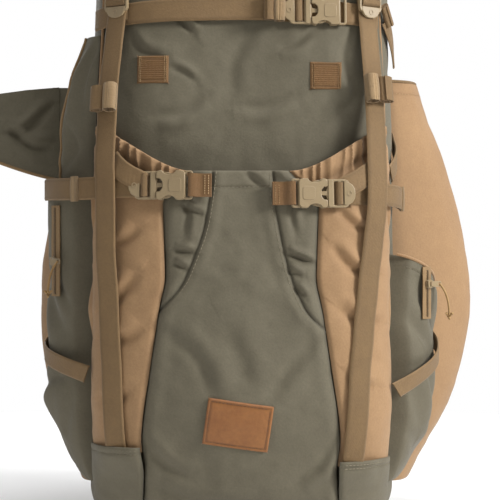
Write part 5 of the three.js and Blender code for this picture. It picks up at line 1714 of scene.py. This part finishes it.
def along_x(female):
    """Frames of a plain buckle lying along X with its face towards +Y, from its CAD nodes."""
    low, high = (np.array(v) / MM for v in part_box(female))
    m = np.eye(4)
    m[:3, 0], m[:3, 1], m[:3, 2] = (1, 0, 0), (0, 0, -1), (0, 1, 0)
    m[:3, 3] = (high[0], low[1], (low[2] + high[2]) / 2)
    return m


buckle("sternum_buckle", along_x("sternum_buckle_female"), "left_shoulder", "right_shoulder", wrap=False)
buckle("belt_buckle", along_x("belt_buckle_female"), "left_belt", "right_belt", wrap=False)


# ---------------------------------------------------------------- kept CAD pieces
for node, mat in (("frame_sheet", COMPOSITE), ("frame_stay_left", ALUMINIUM),
                  ("frame_stay_right", ALUMINIUM)):
    data = frame["nodes"][node]
    data.data.materials.clear()
    data.data.materials.append(mat)

pale.make("pale_stitching", THREAD, slot="green_fabric")
tan_thread.make("tan_stitching", THREAD_TAN, slot="webbing")
dark_thread.make("patch_stitching", THREAD_DARK, slot="leather")


# ---------------------------------------------------------------- floor and light
def studio():
    mesh = bpy.data.meshes.new("floor")
    radius, z = 1.5, -0.002
    turn = np.linspace(0, 2 * np.pi, 96, endpoint=False)
    mesh.from_pydata([(radius * math.cos(a), radius * math.sin(a), z) for a in turn], [], [list(range(96))])
    floor = bpy.data.objects.new("floor", mesh)
    bpy.context.scene.collection.objects.link(floor)
    mat = bpy.data.materials.new("floor_paper")
    mat.use_nodes = True
    shader = mat.node_tree.nodes["Principled BSDF"]
    shader.inputs["Base Color"].default_value = (0.93, 0.93, 0.93, 1)
    shader.inputs["Roughness"].default_value = 0.8
    mesh.materials.append(mat)
    world = bpy.data.worlds.new("studio")
    bpy.context.scene.world = world
    world.use_nodes = True
    links, back = world.node_tree.links, world.node_tree.nodes["Background"]
    seen = world.node_tree.nodes.new("ShaderNodeLightPath")
    level = world.node_tree.nodes.new("ShaderNodeMapRange")
    level.inputs["To Min"].default_value = 0.33
    level.inputs["To Max"].default_value = 1.0
    links.new(seen.outputs["Is Camera Ray"], level.inputs["Value"])
    links.new(level.outputs[0], back.inputs[1])
    back.inputs[0].default_value = (1, 1, 1, 1)
    bpy.context.scene.view_settings.view_transform = "Standard"
    for name, place, aim, width, power in (
            ("key", (2.3, -1.3, 1.5), (0, 0, 0.35), 0.8, 84), ("top", (0.5, -0.5, 2.7), (0, 0, 0.4), 1.2, 30),
            ("fill", (-2.2, -1.7, 0.8), (0, 0, 0.3), 1.4, 5),
            ("back", (-0.9, 2.4, 1.5), (0, 0, 0.4), 1.5, 34)):
        light = bpy.data.lights.new(name, "AREA")
        light.shape = "DISK"
        light.size = width
        light.energy = power
        obj = bpy.data.objects.new(name, light)
        obj.location = place
        obj.rotation_euler = (Vector(aim) - Vector(place)).to_track_quat("-Z", "Y").to_euler()
        bpy.context.scene.collection.objects.link(obj)


studio()

bpy.context.view_layer.update()
